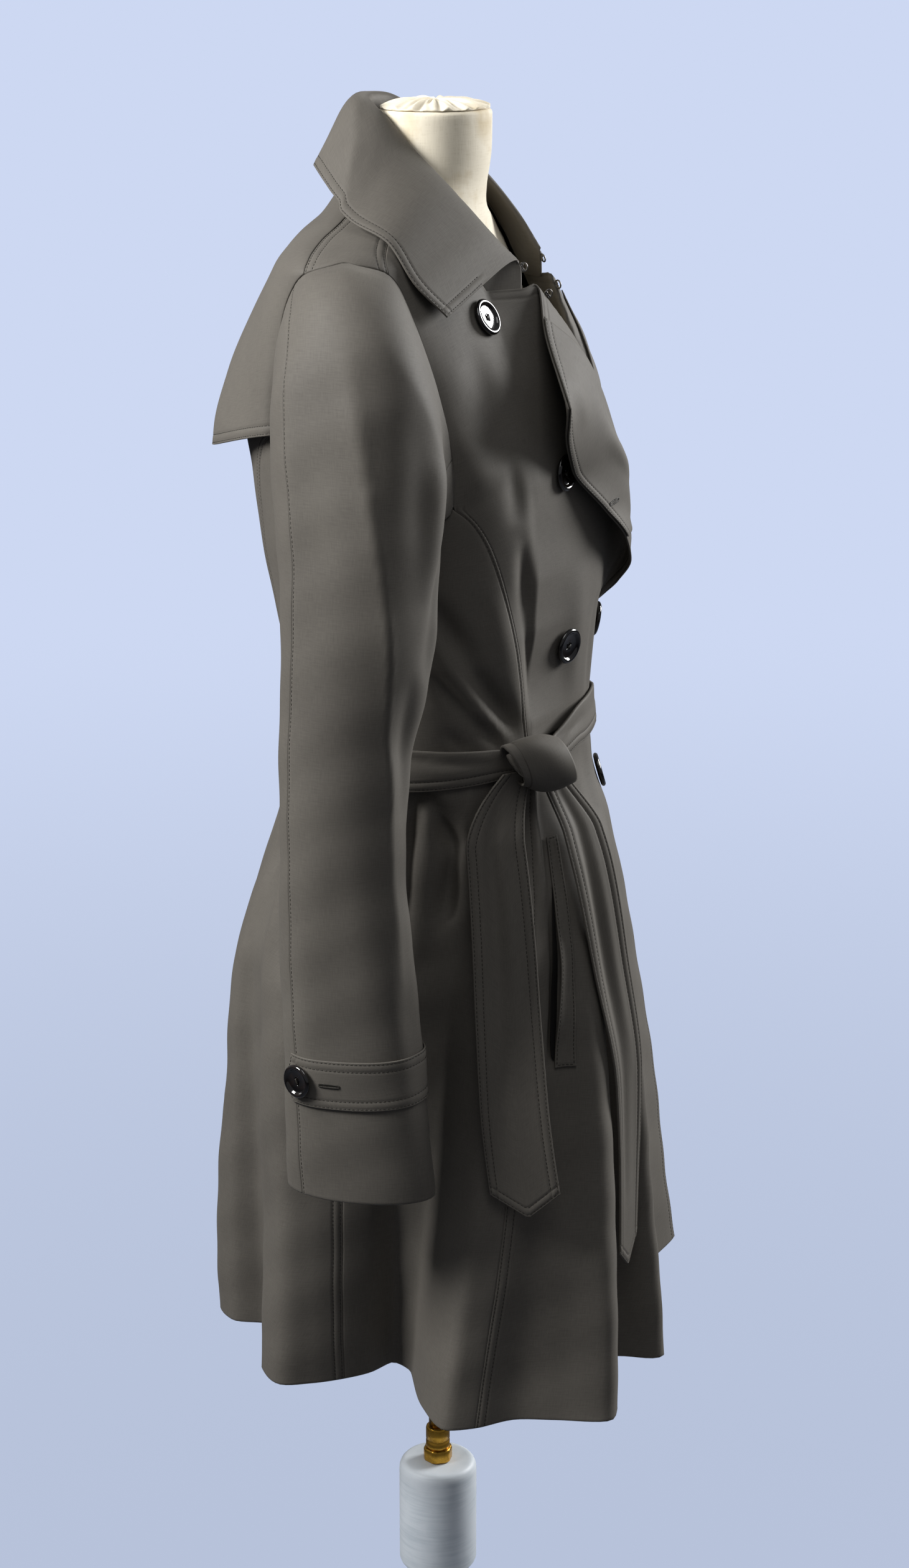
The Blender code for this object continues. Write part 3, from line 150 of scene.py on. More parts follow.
class Table:
    """Rows of numbers under named columns, read between its rows along a smooth curve."""

    def __init__(self, columns, rows):
        self.rows = np.array(rows, float)
        assert self.rows.shape[1] == len(columns.split())
        self.keys = self.rows[:, 0]
        rises = np.diff(self.rows[:, 1:], axis=0) / np.diff(self.keys)[:, None]
        turns = rises[:-1] * rises[1:]
        level = turns <= 0
        middle = np.where(level, 0.0, 2 * turns / np.where(level, 1.0, rises[:-1] + rises[1:]))
        self.slopes = np.vstack([rises[:1], middle, rises[-1:]])

    def at(self, key):
        """Every column after the first, where the first reads key."""
        key = np.asarray(key, float)
        low = np.clip(np.searchsorted(self.keys, key) - 1, 0, len(self.keys) - 2)
        width = (self.keys[low + 1] - self.keys[low])[..., None]
        t = np.clip((key - self.keys[low])[..., None] / width, 0, 1)
        start, end = self.rows[low, 1:], self.rows[low + 1, 1:]
        values = (start * (1 + 2 * t) * (1 - t) ** 2 + end * t * t * (3 - 2 * t)
                  + self.slopes[low] * width * t * (1 - t) ** 2
                  - self.slopes[low + 1] * width * t * t * (1 - t))
        return np.moveaxis(values, -1, 0)


# The bodice's level sections, from the waist over the shoulders to the neck
BODY = Table("height half_width front back middle_y front_round", [
    (0.96, 0.149, 0.114, 0.107, 0.0, 2.15), (1.0, 0.147, 0.1125, 0.105, 0.0, 2.15),
    (1.05, 0.15, 0.115, 0.11, 0.0, 2.15), (1.1, 0.156, 0.116, 0.119, 0.0, 2.15),
    (1.15, 0.162, 0.1155, 0.128, 0.0, 2.15), (1.19, 0.166, 0.115, 0.131, 0.002, 2.15),
    (1.22, 0.169, 0.112, 0.132, 0.005, 2.15), (1.26, 0.174, 0.103, 0.125, 0.009, 2.05),
    (1.308, 0.179, 0.083, 0.105, 0.015, 1.85), (1.335, 0.181, 0.074, 0.089, 0.018, 1.7),
    (1.347, 0.18, 0.069, 0.08, 0.02, 1.7), (1.356, 0.17, 0.064, 0.073, 0.02, 1.7),
    (1.364, 0.148, 0.06, 0.068, 0.019, 1.7), (1.374, 0.112, 0.056, 0.061, 0.016, 1.75),
    (1.388, 0.078, 0.0505, 0.056, 0.013, 1.9), (1.4, 0.063, 0.046, 0.051, 0.01, 2.0),
])

# Seams of the bodice, as angle and height
PRINCESS = [(45.0, WAIST_Z), (48.5, 1.040), (52.5, 1.085), (57.5, 1.125), (62.0, 1.153), (66.5, 1.172)]
BACK_PRINCESS = [(134.0, WAIST_Z), (136.0, 1.050), (137.5, 1.105), (136.5, 1.155), (131.0, 1.195),
                 (123.0, 1.222)]
YOKE_FRONT = [(81.5, 1.358), (82.0, 1.371), (81.0, 1.394)]
YOKE_BACK = [(101.0, 1.358), (105.0, 1.373), (111.0, 1.396)]
NECK_FRONT = [(46.0, 1.336), (50.0, 1.350), (58.0, 1.370), (70.0, 1.392)]

# The armhole, all the way round from its top through the front, the underarm and the back
ARMHOLE = Table("turn angle height", [
    (0, 90.0, 1.356), (30, 80.5, 1.3465), (60, 76.0, 1.316), (90, 72.0, 1.267), (120, 70.0, 1.218),
    (150, 71.0, 1.183), (170, 81.0, 1.166), (190, 92.0, 1.163), (210, 103.0, 1.176), (225, 110.0, 1.198),
    (240, 114.0, 1.231), (270, 112.5, 1.278), (300, 108.0, 1.321), (330, 100.0, 1.3465),
    (360, 90.0, 1.356),
])

# Where the princess, yoke and back seams meet the armhole, as its turn
PRINCESS_TURN, YOKE_FRONT_TURN, BACK_TURN, YOKE_BACK_TURN = 150, 30, 240, 330

# The right front's extension: closed up to the third button, turned out like a lapel above it
RIGHT_STRIP = Table(
    "height bulge_x bulge_y roll_x roll_y turn_x turn_y turn_z edge_x edge_y edge_z", [
        (0.995, 0.002, -0.1135, 0.05, -0.108, 0.088, -0.0935, 0.995, 0.1155, -0.074, 0.995),
        (1.04, 0.002, -0.1165, 0.052, -0.111, 0.09, -0.097, 1.04, 0.1165, -0.079, 1.04),
        (1.066, 0.004, -0.1185, 0.055, -0.1135, 0.088, -0.1055, 1.066, 0.103, -0.1085, 1.066),
        (1.088, 0.006, -0.12, 0.056, -0.118, 0.08, -0.119, 1.088, 0.076, -0.129, 1.087),
        (1.11, 0.006, -0.121, 0.054, -0.123, 0.073, -0.132, 1.109, 0.056, -0.141, 1.107),
        (1.135, 0.005, -0.1215, 0.049, -0.127, 0.055, -0.14, 1.133, 0.022, -0.1435, 1.131),
        (1.168, 0.0, -0.122, 0.04, -0.129, 0.034, -0.1405, 1.165, -0.012, -0.132, 1.16),
        (1.205, -0.005, -0.12, 0.028, -0.126, 0.012, -0.136, 1.2, -0.05, -0.116, 1.194),
        (1.245, -0.012, -0.113, 0.016, -0.118, -0.006, -0.129, 1.237, -0.078, -0.117, 1.22),
        (1.285, -0.024, -0.099, 0.0, -0.105, -0.024, -0.115, 1.27, -0.09, -0.12, 1.236),
        (1.325, -0.041, -0.0745, -0.03, -0.0845, -0.055, -0.096, 1.292, -0.096, -0.122, 1.248),
    ])

# The left front's extension: it lies under the right front, and turns out to the left above it
LEFT_STRIP = Table(
    "height bulge_x bulge_y roll_x roll_y turn_x turn_y turn_z edge_x edge_y edge_z", [
        (0.995, 0.05, -0.102, 0.02, -0.1065, 0.0, -0.1075, 0.995, -0.02, -0.107, 0.995),
        (1.04, 0.05, -0.1045, 0.02, -0.109, 0.0, -0.11, 1.04, -0.02, -0.1095, 1.04),
        (1.068, 0.05, -0.106, 0.02, -0.1105, 0.0, -0.1115, 1.068, -0.018, -0.111, 1.068),
        (1.095, 0.05, -0.1075, 0.02, -0.1115, 0.006, -0.1122, 1.095, -0.008, -0.1125, 1.095),
        (1.128, 0.048, -0.1085, 0.018, -0.112, 0.008, -0.1135, 1.128, 0.002, -0.116, 1.128),
        (1.148, 0.047, -0.108, 0.021, -0.1122, 0.011, -0.1155, 1.148, 0.012, -0.1205, 1.147),
        (1.165, 0.046, -0.107, 0.022, -0.1125, 0.014, -0.1185, 1.164, 0.027, -0.1235, 1.162),
        (1.205, 0.046, -0.104, 0.018, -0.112, 0.026, -0.1185, 1.203, 0.062, -0.118, 1.198),
        (1.245, 0.05, -0.097, 0.03, -0.106, 0.046, -0.113, 1.238, 0.096, -0.104, 1.228),
        (1.285, 0.056, -0.085, 0.04, -0.094, 0.062, -0.099, 1.274, 0.12, -0.088, 1.26),
        (1.325, 0.054, -0.069, 0.046, -0.0785, 0.078, -0.08, 1.303, 0.136, -0.07, 1.286),
    ])

# The skirt's level sections before folding
SKIRT_BODY = Table("height half_width front back", [
    (0.5, 0.207, 0.19, 0.172), (0.7, 0.197, 0.172, 0.163), (0.81, 0.187, 0.156, 0.153),
    (0.85, 0.178, 0.149, 0.14), (0.9, 0.164, 0.137, 0.121), (0.95, 0.152, 0.119, 0.109),
    (0.995, 0.1475, 0.113, 0.1055),
])

# The skirt's folds from the right front's edge, round the back, to the left front's edge: each station's
# angle at the waist and at the hem, and how far out the hem lies
SKIRT = Table("station waist hem radius", [(station, *row) for station, row in enumerate([
    (-50, -38, 0.221), (-38, -29, 0.188), (-21, -12, 0.158), (-5, 6, 0.162), (9, 21, 0.217),
    (15, 27, 0.19), (20, 35, 0.168), (26, 43, 0.252), (32, 46, 0.262), (37, 54, 0.243), (41, 62, 0.232),
    (45, 69, 0.238), (50, 74, 0.24), (56, 79, 0.205), (64, 84, 0.148), (76, 90, 0.138), (88, 95, 0.16),
    (97, 100, 0.177), (106, 106, 0.195), (116, 112, 0.209), (124, 119, 0.199), (132, 128, 0.161),
    (140, 138, 0.153), (147, 145, 0.176), (154, 152, 0.181), (162, 161, 0.166), (171, 171, 0.152),
    (180, 180, 0.163), (190, 189, 0.176), (200, 199, 0.168), (208, 207, 0.15), (216, 215, 0.158),
    (225, 223, 0.192), (233, 230, 0.206), (240, 238, 0.193), (247, 247, 0.177), (254, 256, 0.159),
    (262, 265, 0.15), (270, 273, 0.146), (277, 280, 0.16), (283, 286, 0.202), (288, 291, 0.227),
    (293, 297, 0.222), (298, 303, 0.212), (303, 309, 0.216), (308, 315, 0.221), (314, 322, 0.21),
    (326, 332, 0.176), (341, 348, 0.149), (352, 359, 0.15),
])])

SEAM_RIGHT_FRONT, SEAM_RIGHT_SIDE, SEAM_LEFT_SIDE, SEAM_LEFT_FRONT, LAST_STATION = 11, 17, 37, 43, 49
FOLD_START = 0.06           # the folds open from here down, as a share of the skirt's length

# The right sleeve, ring by ring: how far it has left the armhole's shape, its outer and inner sides,
# its middle and its half depth from front to back
SLEEVE = Table("ring freed out_x out_z in_x in_z middle_y half_depth", [
    (0, 0.0, -0.18, 1.358, -0.166, 1.163, 0.01, 0.056),
    (1, 0.3, -0.194, 1.357, -0.169, 1.156, 0.008, 0.06),
    (2, 0.7, -0.214, 1.344, -0.172, 1.143, 0.006, 0.0615),
    (3, 1.0, -0.234, 1.31, -0.175, 1.124, 0.004, 0.061),
    (4, 1.0, -0.248, 1.255, -0.177, 1.102, 0.001, 0.0595),
    (5, 1.0, -0.256, 1.188, -0.178, 1.072, -0.001, 0.0565),
    (6, 1.0, -0.259, 1.115, -0.179, 1.036, 0.003, 0.0515),
    (7, 1.0, -0.258, 1.035, -0.18, 0.991, 0.011, 0.046),
    (8, 1.0, -0.257, 0.95, -0.182, 0.934, 0.013, 0.045),
    (9, 1.0, -0.257, 0.865, -0.187, 0.86, 0.01, 0.048),
    (10, 1.0, -0.257, 0.78, -0.194, 0.779, 0.004, 0.052),
    (11, 1.0, -0.257, 0.69, -0.202, 0.69, -0.001, 0.0545),
])

# The collar from its middle back to its end, on the left; the right half is its mirror
COLLAR = Table("along roll_x roll_y roll_z edge_x edge_y edge_z", [
    (0.0, 0.0, 0.05, 1.459, 0.0, 0.088, 1.408),
    (0.18, 0.026, 0.044, 1.457, 0.06, 0.076, 1.41),
    (0.34, 0.044, 0.027, 1.446, 0.103, 0.051, 1.394),
    (0.5, 0.054, 0.001, 1.421, 0.125, 0.0285, 1.3795),
    (0.66, 0.058, -0.025, 1.397, 0.141, -0.001, 1.368),
    (0.82, 0.054, -0.049, 1.371, 0.147, -0.0225, 1.3405),
    (1.0, 0.04, -0.0705, 1.345, 0.135, -0.0435, 1.316),
])

NECK_SEAM = Table("along angle height", [
    (0.0, 180.0, 1.396), (0.36, 111.0, 1.396), (0.55, 81.0, 1.394), (0.62, 70.0, 1.392),
    (0.72, 58.0, 1.37), (0.8, 50.0, 1.35), (0.86, 46.0, 1.336), (0.92, 42.0, 1.325),
])

NEAR_TAIL = Table("height x y width facing", [
    (0.664, -0.197, -0.12, 0.052, -76.0),
    (0.73, -0.19, -0.1085, 0.051, -74.0),
    (0.8, -0.175, -0.099, 0.049, -71.0),
    (0.87, -0.157, -0.09, 0.047, -68.0),
    (0.93, -0.14, -0.08, 0.045, -63.0),
    (TAIL_TOP_Z, -0.131, -0.071, 0.043, -60.0),
])
FAR_TAIL = Table("height x y width facing", [
    (0.59, -0.106, -0.178, 0.042, -6.0),
    (0.65, -0.104, -0.177, 0.042, -8.0),
    (0.74, -0.098, -0.174, 0.042, -16.0),
    (0.83, -0.092, -0.1575, 0.043, -25.0),
    (0.9, -0.084, -0.142, 0.042, -32.0),
    (TAIL_TOP_Z, -0.066, -0.114, 0.033, -36.0),
])

FORM_INSET = Table("height inset", [
    (0.96, 0.012), (1.25, 0.01), (1.32, 0.006), (1.345, 0.0042), (1.356, 0.0036), (1.366, 0.0026),
    (1.4, 0.0026),
])
HIPS = Table("height half_width front back", [
    (0.75, 0.128, 0.102, 0.11), (0.8, 0.146, 0.112, 0.122), (0.86, 0.15, 0.11, 0.116),
    (0.92, 0.142, 0.104, 0.1), (0.96, 0.137, 0.102, 0.095),
])
NECK = Table("height half_width half_depth middle_y", [
    (1.386, 0.062, 0.044, 0.008), (1.4, 0.051, 0.042, 0.004), (1.42, 0.048, 0.042, 0.001),
    (1.449, 0.0475, 0.0415, 0.0),
])

# Soft creases, pressed folds and hollows: from one place to another, how wide and how far out (in when
# negative). They are round hollows and swells; a last number below 2 makes a sharper pressed fold.
BODY_CREASES = [
    (78, 1.118, 64.8, 1.059, 0.0085, -0.0075), (66, 1.064, 50, 1.006, 0.008, -0.009),
    (79, 1.095, 66, 1.04, 0.0065, 0.004), (68, 1.047, 52, 0.999, 0.006, 0.0045),
    (78, 1.062, 65.2, 1.023, 0.0055, -0.005), (66, 1.026, 54, 0.998, 0.005, -0.0045),
    (73, 1.016, 68, 0.999, 0.004, -0.003), (60, 1.12, 50, 1.03, 0.01, 0.003),
    (49, 1.15, 44.8, 1.08, 0.0085, -0.007), (45.2, 1.086, 40, 1.012, 0.0085, -0.0085),
    (60, 1.29, 57, 1.205, 0.016, -0.0054), (68, 1.24, 60, 1.19, 0.015, 0.0047),
    (52, 1.21, 51, 1.165, 0.008, -0.0034), (43, 1.19, 40, 1.12, 0.009, -0.0038),
    (35, 1.13, 33, 1.005, 0.01, 0.0041), (86, 1.12, 84, 1.03, 0.012, -0.0041),
    (-58, 1.18, -52, 1.09, 0.011, -0.0054), (-52, 1.1, -49, 1.0, 0.011, -0.0068),
    (-78, 1.135, -66, 1.04, 0.013, -0.0061), (-82, 1.06, -70, 1.01, 0.014, 0.0054),
    (-60, 1.285, -58, 1.215, 0.016, -0.0047), (-88, 1.11, -90, 1.03, 0.012, -0.0041),
    (120, 1.15, 128, 1.04, 0.012, -0.0047), (150, 1.08, 146, 1.0, 0.011, -0.0047),
    (164, 1.12, 168, 1.005, 0.012, 0.0041), (-122, 1.15, -131, 1.03, 0.012, -0.0047),
    (-152, 1.09, -148, 1.0, 0.012, -0.0047), (-170, 1.11, -166, 1.01, 0.011, 0.0038),
    (112, 1.06, 140, 1.02, 0.009, -0.003), (-108, 1.065, -138, 1.015, 0.009, -0.0032),
]
SKIRT_CREASES = [
    (15.35, 0.978, 14.7, 0.95, 0.0045, -0.0065), (14.78, 0.954, 14.2, 0.924, 0.005, -0.009),
    (14.24, 0.932, 14.28, 0.872, 0.0055, -0.0085), (15.38, 0.985, 15.35, 0.85, 0.0045, -0.008),
    (15.05, 0.966, 14.95, 0.85, 0.0045, 0.004), (14.05, 0.978, 13.92, 0.87, 0.0045, 0.0025),
    (12.6, 0.99, 13.2, 0.84, 0.007, -0.0076), (10.1, 0.985, 10.0, 0.88, 0.007, 0.0051),
    (3.0, 0.985, 3.6, 0.8, 0.008, 0.0051), (5.2, 0.9, 5.6, 0.74, 0.01, -0.0051),
    (8.9, 0.85, 9.3, 0.64, 0.016, -0.0059), (10.4, 0.7, 10.3, 0.56, 0.018, 0.0043),
    (18.2, 0.985, 18.4, 0.87, 0.008, -0.0059), (20.0, 0.98, 20.4, 0.8, 0.01, 0.0051),
    (22.4, 0.985, 22.2, 0.88, 0.008, -0.0059), (25.0, 0.985, 25.1, 0.85, 0.008, 0.0048),
    (27.4, 0.985, 27.1, 0.9, 0.007, -0.0051), (29.6, 0.985, 29.7, 0.83, 0.009, 0.0051),
    (32.5, 0.985, 32.3, 0.85, 0.009, -0.0059), (35.0, 0.985, 34.6, 0.86, 0.008, 0.0051),
    (38.0, 0.985, 37.9, 0.82, 0.009, -0.0068), (40.5, 0.985, 40.1, 0.84, 0.008, 0.0051),
    (42.2, 0.985, 42.4, 0.86, 0.008, -0.0059), (45.2, 0.985, 45.3, 0.87, 0.008, -0.0051),
    (47.4, 0.98, 47.6, 0.8, 0.01, 0.0044), (19.5, 0.7, 19.6, 0.52, 0.016, -0.0051),
    (33.5, 0.72, 33.4, 0.53, 0.016, -0.0051), (24.2, 0.68, 24.1, 0.52, 0.014, 0.0043),
]
POCKET_MOUTHS = {
    "skirt_front_right": [(9.50, 0.764, 9.36, 0.880, 0.0036, -0.0075, 3)],
    "skirt_front_left": [(44.10, 0.764, 44.35, 0.880, 0.0036, -0.0075, 3)],
}
SLEEVE_CREASES = [
    (4, 1.31, 12, 1.22, 0.012, 0.0036, 1.1), (9, 1.275, 22, 1.165, 0.012, 0.005, 0.9),
    (15, 1.215, 44, 1.075, 0.012, 0.0052, 0.9), (34, 1.13, 60, 0.98, 0.012, 0.0048, 0.9),
    (56, 1.03, 66, 0.85, 0.012, 0.0038, 1.1), (52, 1.27, 84, 1.08, 0.02, -0.006),
    (84, 1.23, 76, 1.13, 0.014, 0.004), (100, 1.18, 92, 1.07, 0.012, -0.004),
    (66, 1.08, 88, 0.97, 0.013, -0.004), (-20, 1.25, -26, 1.06, 0.018, -0.0022),
    (-40, 1.3, -44, 1.15, 0.009, 0.0025, 1.3), (8, 0.96, 4, 0.76, 0.02, -0.0018),
    (140, 1.12, 128, 1.01, 0.012, -0.0035), (220, 1.11, 236, 0.99, 0.014, -0.004),
    (250, 1.2, 244, 1.08, 0.013, -0.0035), (262, 1.06, 250, 0.9, 0.013, 0.003),
    (72, 0.9, 78, 0.73, 0.014, -0.002), (-32, 0.9, -30, 0.72, 0.014, 0.0018),
]
COLLAR_CREASES = [
    (0.42, 0.98, 0.31, 0.74, 0.008, 0.002, 1.3), (0.32, 0.78, 0.2, 0.54, 0.01, 0.002, 1.4),
    (0.5, 0.92, 0.44, 0.66, 0.016, -0.0011), (0.64, 0.74, 0.88, 0.74, 0.024, -0.0012),
    (0.1, 0.8, 0.24, 0.86, 0.016, -0.0014),
]
RIGHT_FLAP_CREASES = [
    (1.168, 0.62, 1.225, 0.8, 0.01, -0.003), (1.205, 0.7, 1.275, 0.74, 0.011, 0.0028),
    (1.1, 0.6, 1.15, 0.82, 0.01, 0.003), (1.01, 0.3, 1.09, 0.32, 0.009, -0.003),
    (1.02, 0.18, 1.12, 0.16, 0.01, 0.003), (1.25, 0.9, 1.31, 0.86, 0.008, -0.002),
]
LEFT_FLAP_CREASES = [
    (1.185, 0.66, 1.275, 0.82, 0.009, -0.0026), (1.17, 0.74, 1.24, 0.92, 0.009, 0.0026),
    (1.225, 0.62, 1.305, 0.72, 0.01, -0.0022), (1.2, 0.3, 1.28, 0.34, 0.012, 0.0024),
]
BELT_CREASES = [
    (60, 0.25, 92, 0.55, 0.0045, -0.0012, 1.6), (59, -0.2, 84, 0.05, 0.004, 0.001, 1.6),
    (58, 0.6, 76, 0.85, 0.0035, 0.001, 1.6), (28, 0.1, 6, 0.3, 0.0045, -0.001, 1.6),
    (150, 0.2, 176, -0.1, 0.005, -0.0008), (236, -0.2, 262, 0.15, 0.005, -0.0008),
]
TAIL_CREASES = [
    (-0.35, 0.16, -0.1, 0.95, 0.006, -0.0022), (0.3, 0.4, 0.2, 0.98, 0.006, 0.0018),
    (-0.7, 0.55, -0.5, 0.98, 0.005, 0.0018), (0.1, 0.06, -0.2, 0.5, 0.012, 0.001),
]
CAPE_CREASES = [
    (128, 1.335, 134, 1.225, 0.02, -0.003), (152, 1.33, 156, 1.21, 0.022, 0.003),
    (180, 1.35, 178, 1.215, 0.02, -0.0025), (206, 1.33, 203, 1.21, 0.022, 0.0028),
    (230, 1.335, 226, 1.225, 0.02, -0.003),
]


def creased(creases, u, v, size_u, size_v=1.0):
    """How far a list of creases moves the cloth out at u and v, which the sizes turn into metres."""
    moved = np.zeros(np.broadcast(u, v).shape)
    for u0, v0, u1, v1, width, push, *soft in creases:
        run_u, run_v = (u1 - u0) * size_u, (v1 - v0) * size_v
        off_u, off_v = (u - u0) * size_u, (v - v0) * size_v
        t = np.clip((off_u * run_u + off_v * run_v) / (run_u ** 2 + run_v ** 2), 0, 1)
        away = np.hypot(off_u - run_u * t, off_v - run_v * t) / (width * (0.75 + 0.5 * t))
        ends = np.sin(np.pi * np.clip(t * 0.94 + 0.03, 0, 1)) ** 0.7
        moved += push * ends * np.exp(-away ** (soft[0] if soft else 2))
    return moved


def slack(points):
    """The slight unevenness of hanging cloth, the same for all pieces that meet at a place."""
    x, y, z = np.moveaxis(points, -1, 0)
    return (0.00050 * np.sin(71 * x + 33 * z + 1.3) + 0.00045 * np.sin(83 * y - 47 * z + 0.4)
            + 0.00035 * np.sin(58 * (x + y) + 121 * z + 2.2))


# The coat's surfaces

LEVEL = np.array((1.0, 1.0, 0.0))
UPWARD = np.array((0.0, 0.0, 1.0))
MIRROR = np.array((-1.0, 1.0, 1.0))


def unit(vectors):
    return vectors / np.maximum(np.linalg.norm(vectors, axis=-1, keepdims=True), 1e-12)


def stacked(x, y, z):
    return np.stack(np.broadcast_arrays(x, y, z), -1).astype(float)


def outward(point):
    """The level direction from the body's middle to a point."""
    return unit(point * LEVEL)


def ramp(value, start, width):
    """From 0 at the start to 1 a width further on."""
    return np.clip((value - start) / width, 0, 1)


def smooth(t):
    """A share from 0 to 1 that starts and ends gently."""
    return t * t * (3 - 2 * t)


def through(knots, t):
    """A smooth curve through the knots, which lie along the last axis but one, t from 0 to 1."""
    spans = knots.shape[-2] - 1
    t = np.asarray(t, float)
    knots = np.broadcast_to(knots, t.shape + knots.shape[-2:])
    low = np.clip((t * spans).astype(int), 0, spans - 1)
    s = (t * spans - low)[..., None]
    first, last = 2 * knots[..., :1, :] - knots[..., 1:2, :], 2 * knots[..., -1:, :] - knots[..., -2:-1, :]
    knots = np.concatenate([first, knots, last], -2)
    before, start, end, after = [np.take_along_axis(knots, (low + k)[..., None, None], -2)[..., 0, :]
                                 for k in range(4)]
    return (start * (2 - 5 * s * s + 3 * s ** 3) + end * (s + 4 * s * s - 3 * s ** 3)
            + before * (-s + 2 * s * s - s ** 3) + after * (-s * s + s ** 3)) / 2


def oval(turn, half_width, front, back, front_round=BODY_ROUND):
    """The distance out to a rounded section, flatter in front where front_round is small."""
    side, ahead = np.abs(np.sin(turn)), np.cos(turn)
    depth = np.where(ahead > 0, front, back)
    power = np.where(ahead > 0, front_round, BODY_ROUND)
    return ((side / half_width) ** power + np.abs(ahead / depth) ** power) ** (-1 / power)


def smooth_body(angle, height):
    """The bodice without its creases."""
    half_width, front, back, middle_y, front_round = BODY.at(height)
    turn = np.radians(angle)
    radius = oval(turn, half_width, front, back, front_round)
    return stacked(-radius * np.sin(turn), middle_y - radius * np.cos(turn), height)


def body(angle, height):
    """A point of the bodice's surface."""
    point = smooth_body(angle, height)
    wrapped = (np.asarray(angle, float) + 180) % 360 - 180
    fade = ramp(point[..., 2], CREASES_END_Z, -CREASES_FADE)
    moved = creased(BODY_CREASES, wrapped, point[..., 2], BODY_DEGREE) + slack(point) * 0.6
    return point + outward(point) * (moved * fade)[..., None]


def skirt(station, height):
    """A point of the skirt's folded surface."""
    station, height = np.broadcast_arrays(np.asarray(station, float), np.asarray(height, float))
    down = (WAIST_Z - height) / (WAIST_Z - HEM_Z)
    waist, hem, hem_radius = SKIRT.at(station)
    angle = np.radians(waist + (hem - waist) * np.maximum(down, 0) ** 0.8)
    half_width, front, back = SKIRT_BODY.at(height)
    radius = oval(angle, half_width, front, back)
    hem_base = oval(np.radians(hem), *SKIRT_BODY.at(HEM_Z))
    opened = np.maximum((down - FOLD_START) / (1 - FOLD_START), 0) ** 1.05
    radius = radius + (hem_radius - hem_base) * opened
    radius = radius - LAP * ramp(station, SEAM_LEFT_FRONT, 1.5)
    point = stacked(-radius * np.sin(angle), -radius * np.cos(angle), height)
    moved = creased(SKIRT_CREASES, station, height, SKIRT_STATION) + slack(point)
    fade = np.clip(down / 0.03, 0.25, 1)
    return point + outward(point) * (moved * fade)[..., None]


def armhole(turn):
    """The armhole's angle and height, turn in degrees from its top through the front."""
    return np.stack(ARMHOLE.at(np.asarray(turn, float) % 360), -1)


def lifted(surface, u, v, lift, step_u=0.4, step_v=0.002):
    """A point moved off a surface along its outward normal, and that normal."""
    point = surface(u, v)
    across = surface(u + step_u, v) - surface(u - step_u, v)
    up = surface(u, v + step_v) - surface(u, v - step_v)
    normal = unit(np.cross(across, up))
    inward = np.sum(normal[..., :2] * point[..., :2], -1) < 0
    normal = np.where(inward[..., None], -normal, normal)
    return point + normal * np.asarray(lift)[..., None], normal


ARMHOLE_MIDDLE = np.array((-0.173, 0.008, 1.2605))
ARMHOLE_CLEAR = 0.0014


def armhole_edge(turn):
    """The sleeve's sewn edge, just inside the armhole and clear of the panels under the arm."""
    angle, height = np.moveaxis(armhole(turn), -1, 0)
    under = np.minimum(1.0, 0.8 * (1 - np.cos(np.radians(turn))))
    hole = lifted(smooth_body, angle, height, ARMHOLE_CLEAR * under)[0]
    return hole + unit(ARMHOLE_MIDDLE - hole) * 2.2 * SEAM


def sleeve(turn, ring):
    """A point of the right sleeve, turn in degrees from its outer side through the front."""
    freed, out_x, out_z, in_x, in_z, middle_y, half_depth = SLEEVE.at(ring)
    across, ahead = np.cos(np.radians(turn)), np.sin(np.radians(turn))
    loose = stacked((out_x + in_x) / 2 + (out_x - in_x) / 2 * across, middle_y - half_depth * ahead,
                    (out_z + in_z) / 2 + (out_z - in_z) / 2 * across)
    carried = armhole_edge(turn) + stacked((out_x + in_x) / 2 - ARMHOLE_MIDDLE[0], 0 * ring,
                                           (out_z + in_z) / 2 - ARMHOLE_MIDDLE[2])
    point = carried + (loose - carried) * np.asarray(freed)[..., None]
    out = unit(stacked(-across, -ahead, 0))
    wrapped = (np.asarray(turn, float) + 90) % 360 - 90
    moved = creased(SLEEVE_CREASES, wrapped, point[..., 2], SLEEVE_DEGREE) + slack(point) * 0.8
    fade = ramp(np.asarray(ring, float), 0.4, 1.2)
    return point + out * (moved * fade)[..., None]


def cuff(turn, height):
    """The sleeve's surface near its hem by height."""
    return sleeve(turn, CUFF_RING + (CUFF_RING_Z - height) / RING_STEP)


def chest(sign, angle, height):
    """The bodice's surface on either side; the left front lies under the right one."""
    point = body(sign * angle, height)
    if sign < 0:
        closed = ramp(height, 1.16, -0.06)
        under = ramp(angle, LEFT_SEAM_LEAST + 1, -5)
        point = point - outward(point) * (LAP * closed * under)[..., None]
    return point


